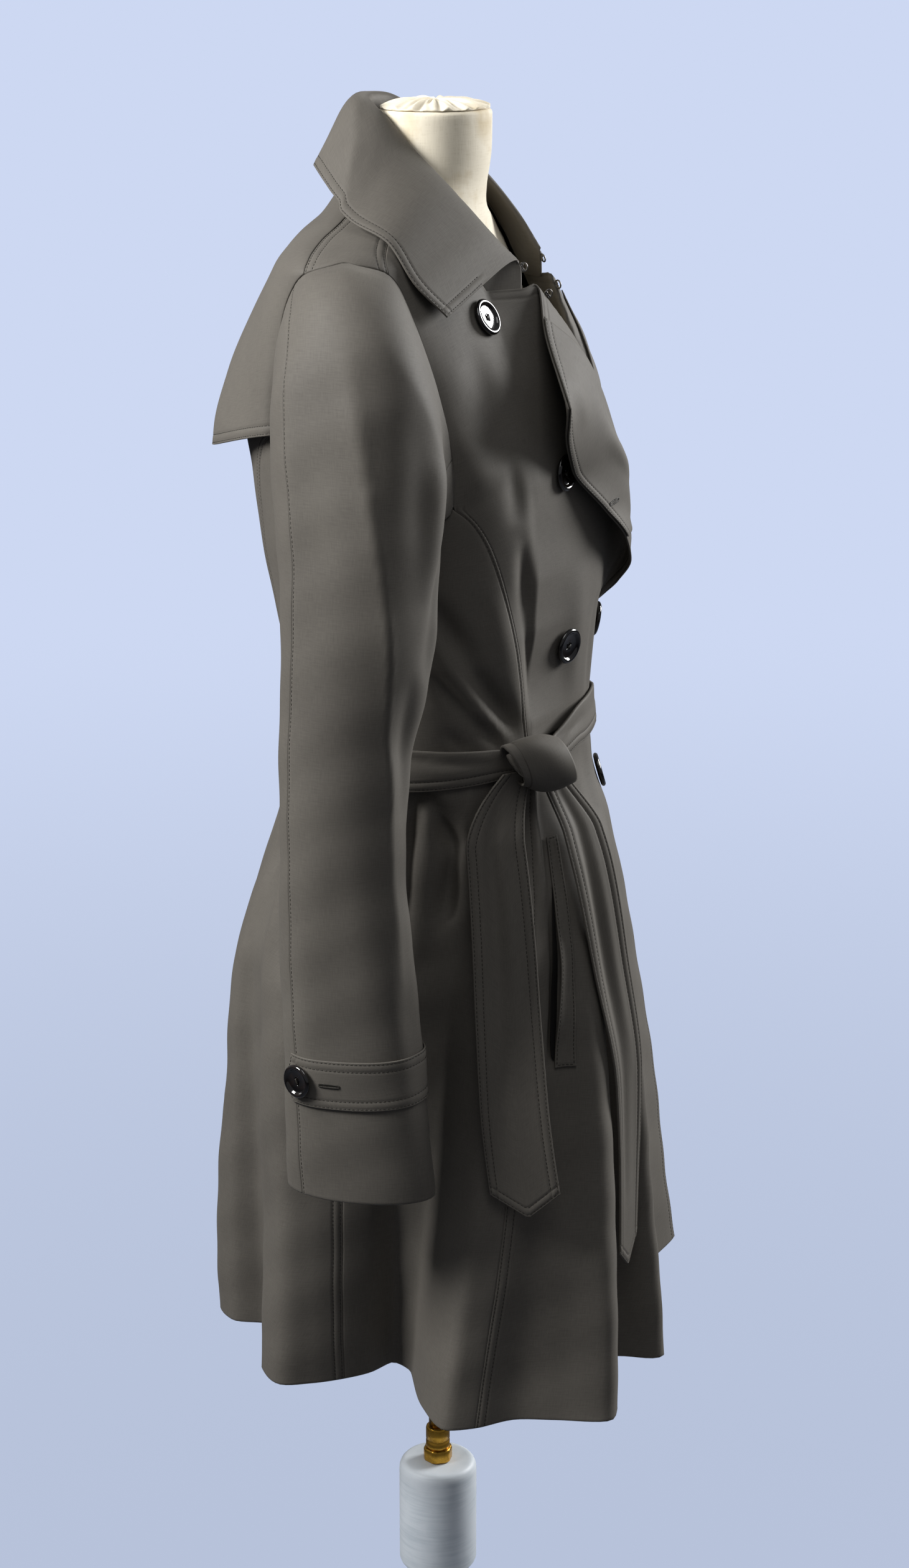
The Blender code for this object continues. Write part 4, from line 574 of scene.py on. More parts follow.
def strip(sign, height, along):
    """A point of a front's extension, along from 0 at the chest to 1 at its free edge."""
    height, along = np.broadcast_arrays(np.asarray(height, float), np.asarray(along, float))
    table, creases = (RIGHT_STRIP, RIGHT_FLAP_CREASES) if sign > 0 else (LEFT_STRIP, LEFT_FLAP_CREASES)
    bulge_x, bulge_y, roll_x, roll_y, turn_x, turn_y, turn_z, edge_x, edge_y, edge_z = table.at(height)
    knots = np.stack([chest(sign, STRIP_START + 0 * height, height), stacked(bulge_x, bulge_y, height),
                      stacked(roll_x, roll_y, height), stacked(turn_x, turn_y, turn_z),
                      stacked(edge_x, edge_y, edge_z)], -2)
    point = through(knots, along)
    ahead = through(knots, np.clip(along + 0.01, 0, 1)) - through(knots, np.clip(along - 0.01, 0, 1))
    out = unit(np.cross(ahead * sign, UPWARD))
    moved = creased(creases, height, along, 1.0, FLAP_WIDTH)
    return point + out * (moved * np.clip(along * 6, 0, 1))[..., None]


def right_strip(along, height):
    return strip(1, height, along)


def left_chest(angle, height):
    return chest(-1, np.asarray(angle, float), np.asarray(height, float))


def cape(angle, height):
    """The storm cape's surface: it leaves the back below the shoulders."""
    down = np.maximum(0.0, (CAPE_TOP_Z - height) / CAPE_DROP)
    middle = np.sin(np.pi * ramp(angle, CAPE_SPAN[0], CAPE_SPAN[1] - CAPE_SPAN[0]))
    clear = CAPE_CLEAR - 0.0006 * ramp(height, 1.30, 0.05)
    point = lifted(smooth_body, angle, height, clear)[0]
    centre = stacked(0.0, BODY.at(height)[3], height)
    moved = CAPE_FLARE * down ** 2.3 * middle ** 0.75
    moved = moved + creased(CAPE_CREASES, angle, height, BODY_DEGREE) * down
    return point + unit(point - centre) * moved[..., None]


def neckline(side, along):
    """A point of the neckline, along from 0 at the middle back to 1 at the front's fold."""
    sign = 1 if side < 0 else -1
    last = NECK_SEAM.keys[-1]
    angle, height = NECK_SEAM.at(np.minimum(along, last))
    fold = strip(sign, LAPEL_TOP + 0 * along, 0.25 * np.clip(along - last, 0, None) / (1 - last))
    return np.where((along > last)[..., None], fold, body(sign * angle, height))


def collar(side, along, rise):
    """A point of the collar, rise from 0 at the neckline over the roll to 1 at the outer edge."""
    along, rise = np.broadcast_arrays(np.asarray(along, float), np.asarray(rise, float))
    roll_x, roll_y, roll_z, edge_x, edge_y, edge_z = COLLAR.at(along)
    roll, edge = stacked(side * roll_x, roll_y, roll_z), stacked(side * edge_x, edge_y, edge_z)
    tucked = ramp(along, 0.425, -0.02) * ramp(along, 0, 0.3)
    edge = edge + unit(roll - edge) * (0.0045 * tucked - 0.0015)[..., None]
    out = outward(edge - roll)
    lower, upper = neckline(side, np.clip(along + 0.01, 0, 1)), neckline(side, np.clip(along - 0.01, 0, 1))
    seam = neckline(side, along)
    away = unit(np.cross(lower - upper, seam - stacked(0 * along, 0.010, seam[..., 2] - 0.050)))
    away = np.where(away[..., 2:] < 0, -away, away)
    base = seam + away * 0.0009 - stacked(0, 0, BASE_DROP * ramp(along, 0.74, 0.10))
    puff = stacked(0, 0, FALL_PUFF * (1 - along * along))
    stand = (base, base + (roll - base) * 0.55 - out * STAND_HOLLOW, roll - out * ROLL_HOLLOW, roll)
    fall = (roll, roll + out * ROLL_OUT + puff * 0.3 + 0.0012 * UPWARD, roll + (edge - roll) * 0.55 + puff,
            edge)
    t = np.where(rise < 0.5, rise * 2, rise * 2 - 1)[..., None]
    weights = ((1 - t) ** 3, 3 * t * (1 - t) ** 2, 3 * t * t * (1 - t), t ** 3)
    under = sum(w * p for w, p in zip(weights, stand))
    over = sum(w * p for w, p in zip(weights, fall))
    point = np.where((rise < 0.5)[..., None], under, over)
    swell = creased(COLLAR_CREASES, along, rise, COLLAR_HALF, COLLAR_DEPTH) * np.clip((rise - 0.5) * 6, 0, 1)
    return point + unit(out + 0.8 * UPWARD) * swell[..., None]


def belt(angle, height, lift):
    """A point of the worn belt, off the bodice above the waist seam and off the skirt below it."""
    angle, height, lift = np.broadcast_arrays(*(np.asarray(value, float) for value in (angle, height, lift)))
    turn = np.radians(angle)
    low, high = oval(turn, *SKIRT_BODY.at(height)), oval(turn, *BODY.at(height)[:3])
    radius = np.where(height < WAIST_Z, low, high) + lift
    wrapped = angle % 360
    over = ramp(wrapped, OVERLAP_FROM, OVERLAP_EASE) + ramp(wrapped, OVERLAP_TO, -OVERLAP_EASE)
    radius = radius + DOUBLED * np.minimum(1, over)
    return stacked(-radius * np.sin(turn), -radius * np.cos(turn), height)


# Grids: rows go up and columns go round, so that the outer face looks out

def patch(left, right, bottom, top, surface):
    """A grid that fills four edges given as pairs of angle and height, laid on a surface."""
    v, u = np.linspace(0, 1, len(left))[:, None, None], np.linspace(0, 1, len(bottom))[None, :, None]
    edges = ((1 - v) * bottom[None] + v * top[None] + (1 - u) * left[:, None] + u * right[:, None])
    corners = ((1 - u) * ((1 - v) * bottom[0] + v * top[0]) + u * ((1 - v) * bottom[-1] + v * top[-1]))
    place = edges - corners
    return surface(place[..., 0], place[..., 1])


def eased(pairs, count):
    """A smooth run of pairs through a short list."""
    return through(np.array(pairs, float), np.linspace(0, 1, count))


def spaced(grid, near, far, step=STEP):
    """Lays each row of a grid out again: at given distances from its two ends, even between them."""
    near, far = np.array(near) / 1000, np.array(far) / 1000
    runs = np.linalg.norm(np.diff(grid, axis=1), axis=-1)
    middle = np.nanmedian(runs.sum(1)) - near[-1] - far[-1]
    count = max(2, int(round(middle / step)))
    laid = []
    for row, run in zip(grid, runs):
        walked = np.concatenate([[0], np.cumsum(run)])
        share = min(1.0, 0.4 * walked[-1] / max(near[-1], far[-1]))
        start, end = near * share, walked[-1] - far[::-1] * share
        places = np.concatenate([start, np.linspace(start[-1], end[0], count + 1)[1:-1], end])
        laid.append(through(row, np.interp(places, walked, np.linspace(0, 1, len(row)))))
    return np.array(laid)


def slope(grid, axis):
    """The step from each point's neighbour before to the one after, beside missing points from one side."""
    gap = np.full_like(np.take(grid, [0], axis), np.nan)
    ahead = np.concatenate([np.take(grid, range(1, grid.shape[axis]), axis), gap], axis)
    back = np.concatenate([gap, np.take(grid, range(grid.shape[axis] - 1), axis)], axis)
    one_sided = np.where(np.isnan(ahead), grid - back, ahead - grid)
    return np.where(np.isnan(ahead) | np.isnan(back), one_sided, ahead - back)


def normals(grid):
    return unit(np.cross(slope(grid, 1), slope(grid, 0)))


def mirrored(grid, sides):
    """A grid and its edges on the wearer's other side, its columns turned to keep the faces outward."""
    across = {"left": "right", "right": "left"}
    return grid[:, ::-1] * MIRROR, {across.get(side, side): kind for side, kind in sides.items()}


# Edges: where the mesh lies in millimetres from the edge, which of these lines are sewn, and how far
# the cloth is pressed or swells there
EDGES = {
    "seam": ((0.05, 1.5), (), (0.75, 1.0)),
    "hem": ((0.0, 0.7, 2.2), (), (0.55, 1.05, 1.0)),
    "single": ((0.0, 0.8, 1.6, 2.4, 4.0), (2,), (0.6, 1.0, 0.5, 1.0, 1.1)),
    "double": ((0.0, 0.8, 1.6, 2.4, 4.4, 6.6, 7.4, 8.2, 10.0), (2, 6),
               (0.6, 1.05, 0.5, 1.05, 1.2, 1.05, 0.5, 1.0, 1.0)),
    "cape_side": ((0.0, 0.9, 2.4), (), (0.6, 0.9, 1.0)),
}


def spaced_up(grid, near, far, step=STEP):
    """Lays each column of a grid out again, as spaced does with its rows."""
    return np.swapaxes(spaced(np.swapaxes(grid, 0, 1), near, far, step), 0, 1)


def drawn(grid, sides, step):
    """A grid laid out for its four edges."""
    across = spaced(grid, EDGES[sides["left"]][0], EDGES[sides["right"]][0], step)
    return spaced_up(across, EDGES[sides["bottom"]][0], EDGES[sides["top"]][0], step)


def sewn_lines(shape, sides):
    """Each sewn line as row and column numbers, and how thick the wall is at every point."""
    wall = np.ones(shape)
    lines = []
    for side, kind in sides.items():
        upright = side in ("left", "right")
        # an upright line runs along the rows, between the sewn lines of the bottom and the top
        length, width = shape if upright else shape[::-1]
        first, last = ("bottom", "top") if upright else ("left", "right")
        _, sewn, press = EDGES[kind]
        for number, share in enumerate(press):
            index = number if side in ("left", "bottom") else -1 - number
            view = wall[:, index] if upright else wall[index]
            thicker = np.where(view < 1, view, np.maximum(view, share))
            view[:] = np.minimum(view, share) if share < 1 else thicker
        for number in sewn:
            low = number if EDGES[sides[first]][1] else 0
            high = length - number if EDGES[sides[last]][1] else length
            along = np.arange(low, high)
            beside = np.full(high - low, number if side in ("left", "bottom") else width - 1 - number)
            lines.append((side, along, beside) if upright else (side, beside, along))
    return lines, wall


# Making pieces

def placed(name, data):
    """Puts a mesh, a light or a camera in the scene."""
    made = bpy.data.objects.new(name, data)
    bpy.context.scene.collection.objects.link(made)
    return made


def add(name, mesh, surface_finish):
    """Puts a mesh in the scene as a piece that rides on the coat."""
    piece = placed(name, mesh)
    mesh.materials.append(surface_finish)
    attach(piece, "root")
    return piece


def made_mesh(name, points, faces, soft=True):
    mesh = bpy.data.meshes.new(name)
    mesh.from_pydata([tuple(point) for point in points], [], [tuple(face) for face in faces])
    mesh.validate()
    if soft:
        mesh.shade_smooth()
    return mesh


def cloth(name, grid, thick, surface_finish, wall=1.0):
    """A closed wall of cloth round a grid of points, with a map of its own in metres."""
    there = ~np.isnan(grid[..., 0])
    number = np.cumsum(there.ravel()).reshape(there.shape) - 1
    total = int(there.sum())
    half = normals(grid) * thick / 2 * np.broadcast_to(wall, there.shape)[..., None]
    whole = there[:-1, :-1] & there[:-1, 1:] & there[1:, 1:] & there[1:, :-1]
    quads = np.stack([number[:-1, :-1], number[:-1, 1:], number[1:, 1:], number[1:, :-1]], -1)[whole]
    sides = np.concatenate([quads[:, [i, (i + 1) % 4]] for i in range(4)])
    known = set(map(tuple, sides))
    rim = [(b, a, a + total, b + total) for a, b in known if (b, a) not in known]
    faces = np.concatenate([quads, quads[:, ::-1] + total, np.array(rim)])
    mesh = made_mesh(name, np.concatenate([(grid + half)[there], (grid - half)[there]]), faces.tolist())
    along = np.nancumsum(np.linalg.norm(np.diff(grid, axis=1, prepend=grid[:, :1]), axis=-1), 1)
    up = np.nancumsum(np.linalg.norm(np.diff(grid, axis=0, prepend=grid[:1]), axis=-1), 0)
    flat = np.stack([along, up], -1)[there]
    layer = mesh.uv_layers.new(name="cut")
    corner = np.zeros(len(mesh.loops), int)
    mesh.loops.foreach_get("vertex_index", corner)
    layer.data.foreach_set("uv", flat[corner % total].ravel())
    return add(name, mesh, surface_finish)


def stitches(name, lines):
    """A row of thread stitches along each line, given as points and the cloth's outward directions."""
    points, faces = [], []
    for line, ways in lines:
        walked = np.concatenate([[0], np.cumsum(np.linalg.norm(np.diff(line, axis=0), axis=1))])
        starts = np.arange(0.0008, walked[-1] - STITCH, STITCH_PITCH)
        for start in starts:
            at = np.interp([start, start + STITCH * 0.2, start + STITCH * 0.8, start + STITCH],
                           walked, np.arange(len(line)))
            low = np.minimum(at.astype(int), len(line) - 2)
            s = (at - low)[:, None]
            middle, up = line[low] * (1 - s) + line[low + 1] * s, ways[low]
            side = unit(np.cross(unit(middle[-1] - middle[0]), up)) * THREAD_HALF
            middle = middle + up * np.array((-STITCH_DIP, STITCH_RISE, STITCH_RISE, -STITCH_DIP))[:, None]
            first = len(points)
            for k in range(4):
                points += [middle[k] + side[k], middle[k] + up[k] * THREAD_HALF, middle[k] - side[k]]
            for k in range(3):
                a = first + 3 * k
                faces += [(a, a + 1, a + 4, a + 3), (a + 1, a + 2, a + 5, a + 4), (a + 2, a, a + 3, a + 5)]
            faces += [(first, first + 2, first + 1), (first + 9, first + 10, first + 11)]
    return add(name, made_mesh(name, points, faces), THREAD)


def sewn_cloth(node_name, grid, thick, sewn, step=STEP, faces=(1,), side_end=np.inf, more=()):
    """A cut piece of the coat in place of its solid, with the stitching along its edges.

    sewn names the kind of each edge that isn't a plain seam, or gives the sewn lines and the wall of a grid
    that is already laid out. faces are the cloth's faces that show thread: 1 is the outer one, -1 the inner
    one. The stitching ends at the height side_end.
    """
    if isinstance(sewn, dict):
        sides = {**ALL_SEAMS, **sewn}
        grid = drawn(grid, sides, step)
        sewn = sewn_lines(grid.shape[:2], sides)
    lines, wall = sewn
    for edge in (np.s_[:, :10], np.s_[:, -10:]):
        wall[edge] = np.where(grid[edge][..., 2] > side_end, 1.0, wall[edge])
    piece = cloth(node_name + "_cloth", grid, thick, SOFTSHELL, wall)
    out = normals(grid)
    rows = []
    for _, row, column in lines:
        keep = grid[row, column, 2] < side_end
        if keep.sum() > 2:
            for face in faces:
                way = out[row, column][keep] * face
                rows.append((grid[row, column][keep] + way * (thick / 4 + THREAD_LIFT), way))
    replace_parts(piece, node_name)
    extra = list(more) + ([stitches(node_name + "_stitching", rows)] if rows else [])


# Finishes

def linear(code):
    """An sRGB hex colour as the linear colour that a shader takes."""
    channels = [int(code[i:i + 2], 16) / 255 for i in (1, 3, 5)]
    return (*[c / 12.92 if c <= 0.04045 else ((c + 0.055) / 1.055) ** 2.4 for c in channels], 1.0)


def feed(tree, made, sockets):
    """Sets a node's sockets, and links those whose value is another node's output."""
    for socket, value in sockets.items():
        if isinstance(value, bpy.types.NodeSocket):
            tree.links.new(value, made.inputs[socket])
        else:
            made.inputs[socket].default_value = value


def node(tree, kind, sockets=(), output=0, **properties):
    """Adds a shader node with its properties, feeds its sockets and gives one of its outputs."""
    made = tree.nodes.new("ShaderNode" + kind)
    for name, value in properties.items():
        setattr(made, name, value)
    feed(tree, made, dict(sockets))
    return made.outputs[output]


def finish(name, **sockets):
    """A named finish, with the values that are the same all over it."""
    made = bpy.data.materials.new(name)
    made.use_nodes = True
    shader = made.node_tree.nodes["Principled BSDF"]
    feed(made.node_tree, shader, {socket.replace("_", " "): value for socket, value in sockets.items()})
    return made, made.node_tree, shader


def woven_dye_and_painted_shade(name, dark, light, sheen):
    """Polyester softshell, woven and dyed: a matt face; fine threads and a brushed nap give a soft sheen. In
    near-black colours it makes painted shade instead.
    """
    made, tree, shader = finish(name, Sheen_Weight=sheen, Sheen_Roughness=0.45, Sheen_Tint=linear("#A9A7A0"),
                                Specular_IOR_Level=0.22, IOR=1.5)
    cut = node(tree, "UVMap", uv_map="cut")
    # threads lie 0.2 mm apart; the streaks are drawn at 0.6 mm, the finest that shows
    warp = node(tree, "Mapping", {"Vector": cut, "Scale": (1600, 110, 1)})
    weft = node(tree, "Mapping", {"Vector": cut, "Scale": (90, 1500, 1)})
    warp_threads = node(tree, "TexNoise", {"Vector": warp, "Scale": 1.0, "Detail": 2.0})
    weft_threads = node(tree, "TexNoise", {"Vector": weft, "Scale": 1.0, "Detail": 2.0})
    weave = node(tree, "Math", {0: warp_threads, 1: weft_threads}, operation="ADD")
    place = node(tree, "TexCoord", output="Object")
    # handling leaves patches about 90 mm across slightly lighter or darker
    patches = node(tree, "TexNoise", {"Vector": place, "Scale": 11.0, "Detail": 3.0})
    both = node(tree, "Math", {0: weave, 1: patches}, operation="ADD")
    share = node(tree, "MapRange", {"Value": both, "From Min": 0.9, "From Max": 2.1})
    colour = node(tree, "Mix", {0: share, 6: linear(dark), 7: linear(light)}, 2, data_type="RGBA")
    nap = node(tree, "MapRange", {"Value": weave, "To Min": 0.80, "To Max": 0.66})
    raised = node(tree, "Bump", {"Height": weave, "Strength": 0.30, "Distance": 0.00012})
    feed(tree, shader, {"Base Color": colour, "Roughness": nap, "Normal": raised})
    return made


def spun_thread(name, twist_light, twist_dark):
    """Spun polyester sewing thread: twisted, with a slight gloss."""
    made, tree, shader = finish(name, Roughness=0.48, Specular_IOR_Level=0.4)
    place = node(tree, "TexCoord", output="Object")
    # the twist of a 0.4 mm thread repeats about every 0.8 mm
    twist = node(tree, "TexNoise", {"Vector": place, "Scale": 1250.0, "Detail": 1.0})
    colour = node(tree, "Mix", {0: twist, 6: linear(twist_dark), 7: linear(twist_light)}, 2, data_type="RGBA")
    feed(tree, shader, {"Base Color": colour})
    return made


def cast_resin(name):
    """Cast polyester resin, tumbled to a high polish: near black with brown horn-like clouds."""
    made, tree, shader = finish(name, Roughness=0.10, IOR=1.54, Coat_Weight=0.6, Coat_Roughness=0.04)
    place = node(tree, "TexCoord", output="Object")
    # clouds about 5 mm across
    clouds = node(tree, "TexNoise", {"Vector": place, "Scale": 190.0, "Detail": 3.0})
    share = node(tree, "MapRange", {"Value": clouds, "From Min": 0.45, "From Max": 0.75})
    colour = node(tree, "Mix", {0: share, 6: linear("#090808"), 7: linear("#1A120E")}, 2, data_type="RGBA")
    feed(tree, shader, {"Base Color": colour})
    return made


def bent_steel(name):
    """Steel wire with a dark nickel plating: grey, bright where it bends."""
    made, tree, shader = finish(name, Metallic=1.0)
    place = node(tree, "TexCoord", output="Object")
    # drawing marks and wear about 1 mm across
    wear = node(tree, "TexNoise", {"Vector": place, "Scale": 900.0, "Detail": 2.0})
    colour = node(tree, "Mix", {0: wear, 6: linear("#4A4846"), 7: linear("#8A8784")}, 2, data_type="RGBA")
    rough = node(tree, "MapRange", {"Value": wear, "To Min": 0.22, "To Max": 0.42})
    feed(tree, shader, {"Base Color": colour, "Roughness": rough})
    return made


def plain_linen(name):
    """Unbleached linen glued over the form: cream, matt, with a fine plain weave and faint handling marks."""
    made, tree, shader = finish(name, Sheen_Weight=0.10, Sheen_Roughness=0.5, Specular_IOR_Level=0.3)
    place = node(tree, "TexCoord", output="Object")
    # linen threads 0.5 mm apart, drawn at 1.1 mm so that they show
    level = node(tree, "Mapping", {"Vector": place, "Scale": (90, 90, 900)})
    upright = node(tree, "Mapping", {"Vector": place, "Scale": (900, 900, 90)})
    wefts = node(tree, "TexNoise", {"Vector": level, "Scale": 1.0, "Detail": 2.0})
    warps = node(tree, "TexNoise", {"Vector": upright, "Scale": 1.0, "Detail": 2.0})
    weave = node(tree, "Math", {0: wefts, 1: warps}, operation="ADD")
    # marks of hands and age, 30 mm across and fewer than they are wide
    marks = node(tree, "TexNoise", {"Vector": place, "Scale": 34.0, "Detail": 4.0})
    share = node(tree, "MapRange", {"Value": marks, "From Min": 0.52, "From Max": 0.80})
    thread = node(tree, "Mix", {0: weave, 6: linear("#CFC3AA"), 7: linear("#E9E0CB")}, 2, data_type="RGBA",
                  clamp_factor=True)
    colour = node(tree, "Mix", {0: share, 6: thread, 7: linear("#C7B48E")}, 2, data_type="RGBA")
    rough = node(tree, "MapRange", {"Value": weave, "To Min": 0.88, "To Max": 0.74})
    raised = node(tree, "Bump", {"Height": weave, "Strength": 0.35, "Distance": 0.0002})
    feed(tree, shader, {"Base Color": colour, "Roughness": rough, "Normal": raised})
    return made


def turned_brass(name, bright, dull, tarnish):
    """Turned brass, tarnished where it isn't handled: warm yellow, with brown specks and turning marks."""
    made, tree, shader = finish(name, Metallic=1.0)
    place = node(tree, "TexCoord", output="Object")
    # specks 1 to 4 mm across; turning marks 0.6 mm apart along the axis
    specks = node(tree, "TexNoise", {"Vector": place, "Scale": 330.0, "Detail": 5.0})
    ring = node(tree, "Mapping", {"Vector": place, "Scale": (20, 20, 1600)})
    marks = node(tree, "TexNoise", {"Vector": ring, "Scale": 1.0, "Detail": 1.0})
    share = node(tree, "MapRange", {"Value": specks, "From Min": tarnish, "From Max": tarnish + 0.16})
    colour = node(tree, "Mix", {0: share, 6: linear(bright), 7: linear(dull)}, 2, data_type="RGBA")
    rough = node(tree, "MapRange", {"Value": specks, "To Min": 0.18, "To Max": 0.42})
    raised = node(tree, "Bump", {"Height": marks, "Strength": 0.25, "Distance": 0.00008})
    feed(tree, shader, {"Base Color": colour, "Roughness": rough, "Normal": raised})
    return made


def brushed_paint(name):
    """White chalk paint brushed on turned wood: matt, cool, with brush strokes and rubbed grey patches."""
    made, tree, shader = finish(name, IOR=1.5, Specular_IOR_Level=0.4)
    place = node(tree, "TexCoord", output="Object")
    # brush strokes 1.5 mm apart round the post, rubbed patches 25 mm across
    stroke = node(tree, "Mapping", {"Vector": place, "Scale": (30, 30, 420)})
    strokes = node(tree, "TexNoise", {"Vector": stroke, "Scale": 1.0, "Detail": 3.0})
    patches = node(tree, "TexNoise", {"Vector": place, "Scale": 42.0, "Detail": 5.0})
    both = node(tree, "Math", {0: strokes, 1: patches}, operation="MULTIPLY")
    share = node(tree, "MapRange", {"Value": both, "From Min": 0.20, "From Max": 0.42})
    colour = node(tree, "Mix", {0: share, 6: linear("#DDE4EA"), 7: linear("#CCD5DC")}, 2, data_type="RGBA")
    rough = node(tree, "MapRange", {"Value": patches, "To Min": 0.38, "To Max": 0.60})
    raised = node(tree, "Bump", {"Height": strokes, "Strength": 0.15, "Distance": 0.0002})
    feed(tree, shader, {"Base Color": colour, "Roughness": rough, "Normal": raised})
    return made


SOFTSHELL = woven_dye_and_painted_shade("polyester_softshell", "#504C47", "#625E57", 0.12)
THREAD = spun_thread("spun_polyester_thread", "#34312A", "#1A1814")
# painted shade: a near-black sheet in each pocket mouth, woven like the face cloth but without its nap, in
# place of the shadow there
POCKET_PAINTED_SHADE = woven_dye_and_painted_shade("pocket_painted_shade", "#0B0A09", "#131110", 0.0)
HORN_RESIN = cast_resin("polished_horn_resin")
STEEL_WIRE = bent_steel("nickelled_steel_wire")
LINEN = plain_linen("unbleached_linen")
BRASS = turned_brass("turned_brass", "#C99A3E", "#7A5522", 0.60)
GILT = turned_brass("worn_brass_tube", "#B8903C", "#4A3818", 0.50)
PAINT = brushed_paint("brushed_chalk_paint")


# The bodice

def princess(sign):
    """A front's princess seam; the left one stays further round, under the right front."""
    return [(max(angle, LEFT_SEAM_LEAST) if sign < 0 else angle, height) for angle, height in PRINCESS]


def front(node_name, sign):
    """A front: princess panel, chest and turned-out extension in one piece."""
    outer = np.concatenate([eased(princess(sign) + [armhole(PRINCESS_TURN)], 56),
                            armhole(np.linspace(PRINCESS_TURN, YOKE_FRONT_TURN, 50))[1:]])
    waist_to_fold = len(outer)
    heights = np.linspace(WAIST_Z, LAPEL_TOP, waist_to_fold)
    inner = np.stack([np.full(waist_to_fold, STRIP_START), heights], -1)
    outer = np.concatenate([outer, eased([armhole(YOKE_FRONT_TURN)] + YOKE_FRONT, 16)[1:]])
    inner = np.concatenate([inner, eased([(STRIP_START, LAPEL_TOP)] + NECK_FRONT, 16)[1:]])
    bottom, top = np.linspace(outer[0], inner[0], 18), np.linspace(outer[-1], inner[-1], 18)
    chest_part = patch(outer, inner, bottom, top, lambda angle, height: chest(sign, angle, height))
    flap = strip(sign, heights[:, None], np.linspace(0, 1, 64)[None])
    # the far edge of the chest is the near edge of the flap, so the two lay out as one row
    seam, double = EDGES["seam"][0], EDGES["double"][0]
    chest_part, flap = spaced(chest_part, double, (0,)), spaced(flap, (0,), double)[:, 1:]
    closed = spaced_up(np.concatenate([chest_part[:waist_to_fold], flap], 1), seam, double)
    neck = spaced_up(chest_part[waist_to_fold - 1:], (0,), seam)[1:]
    sides = {"left": "double", "right": "double", "bottom": "seam", "top": "double"}
    lines, wall = sewn_lines(closed.shape[:2], sides)
    # the stitching ends at the underarm, and along the top it runs on the flap alone
    chest_columns, underarm = chest_part.shape[1], armhole(PRINCESS_TURN)[1]
    kept = []
    for side, row, column in lines:
        keep = np.full(len(row), True)
        if side == "left":
            keep = closed[row, column, 2] < underarm - 0.004
        if side == "top":
            keep = column > chest_columns + 14
        kept.append((side, row[keep], column[keep]))
    wall[-10:, :chest_columns] = 1.0
    wall[(closed[..., 2] > underarm) & (np.arange(closed.shape[1]) < 12)] = 1.0
    empty = np.full((len(neck), flap.shape[1], 3), np.nan)
    grid = np.concatenate([closed, np.concatenate([neck, empty], 1)])
    wall = np.concatenate([wall, np.ones((len(neck), grid.shape[1]))])
    if sign < 0:
        grid, wall = grid[:, ::-1], wall[:, ::-1]
        kept = [(side, row, grid.shape[1] - 1 - column) for side, row, column in kept]
    sewn_cloth(node_name, grid, WALL, (kept, wall))


def facing(node_name, sign, low_height):
    """The facing on the inner side of a turned-out extension; it shows where the extension is turned out."""
    heights = np.linspace(low_height, LAPEL_TOP, 70)
    flap = strip(sign, heights[:, None], np.linspace(2 / 3, 1, 34)[None])
    flap = flap[:, ::-1] if sign < 0 else flap
    inside = flap - normals(flap) * ((WALL + THIN) / 2 + 1.6 * GAP)
    sides = {"right" if sign > 0 else "left": "double", "top": "double"}
    sewn_cloth(node_name, inside, THIN, sides, faces=(-1,))


def across_back(edge, surface, dip=0.0, columns=84):
    """A grid from an edge on the right to the same edge on the left, over the middle back."""
    other = np.stack([360 - edge[:, 0], edge[:, 1]], -1)
    bottom, top = np.linspace(edge[0], other[0], columns), np.linspace(edge[-1], other[-1], columns)
    bottom[:, 1] -= dip * np.sin(np.linspace(0, np.pi, columns)).clip(0) ** 1.2
    return patch(edge, other, bottom, top, surface)[:, ::-1]


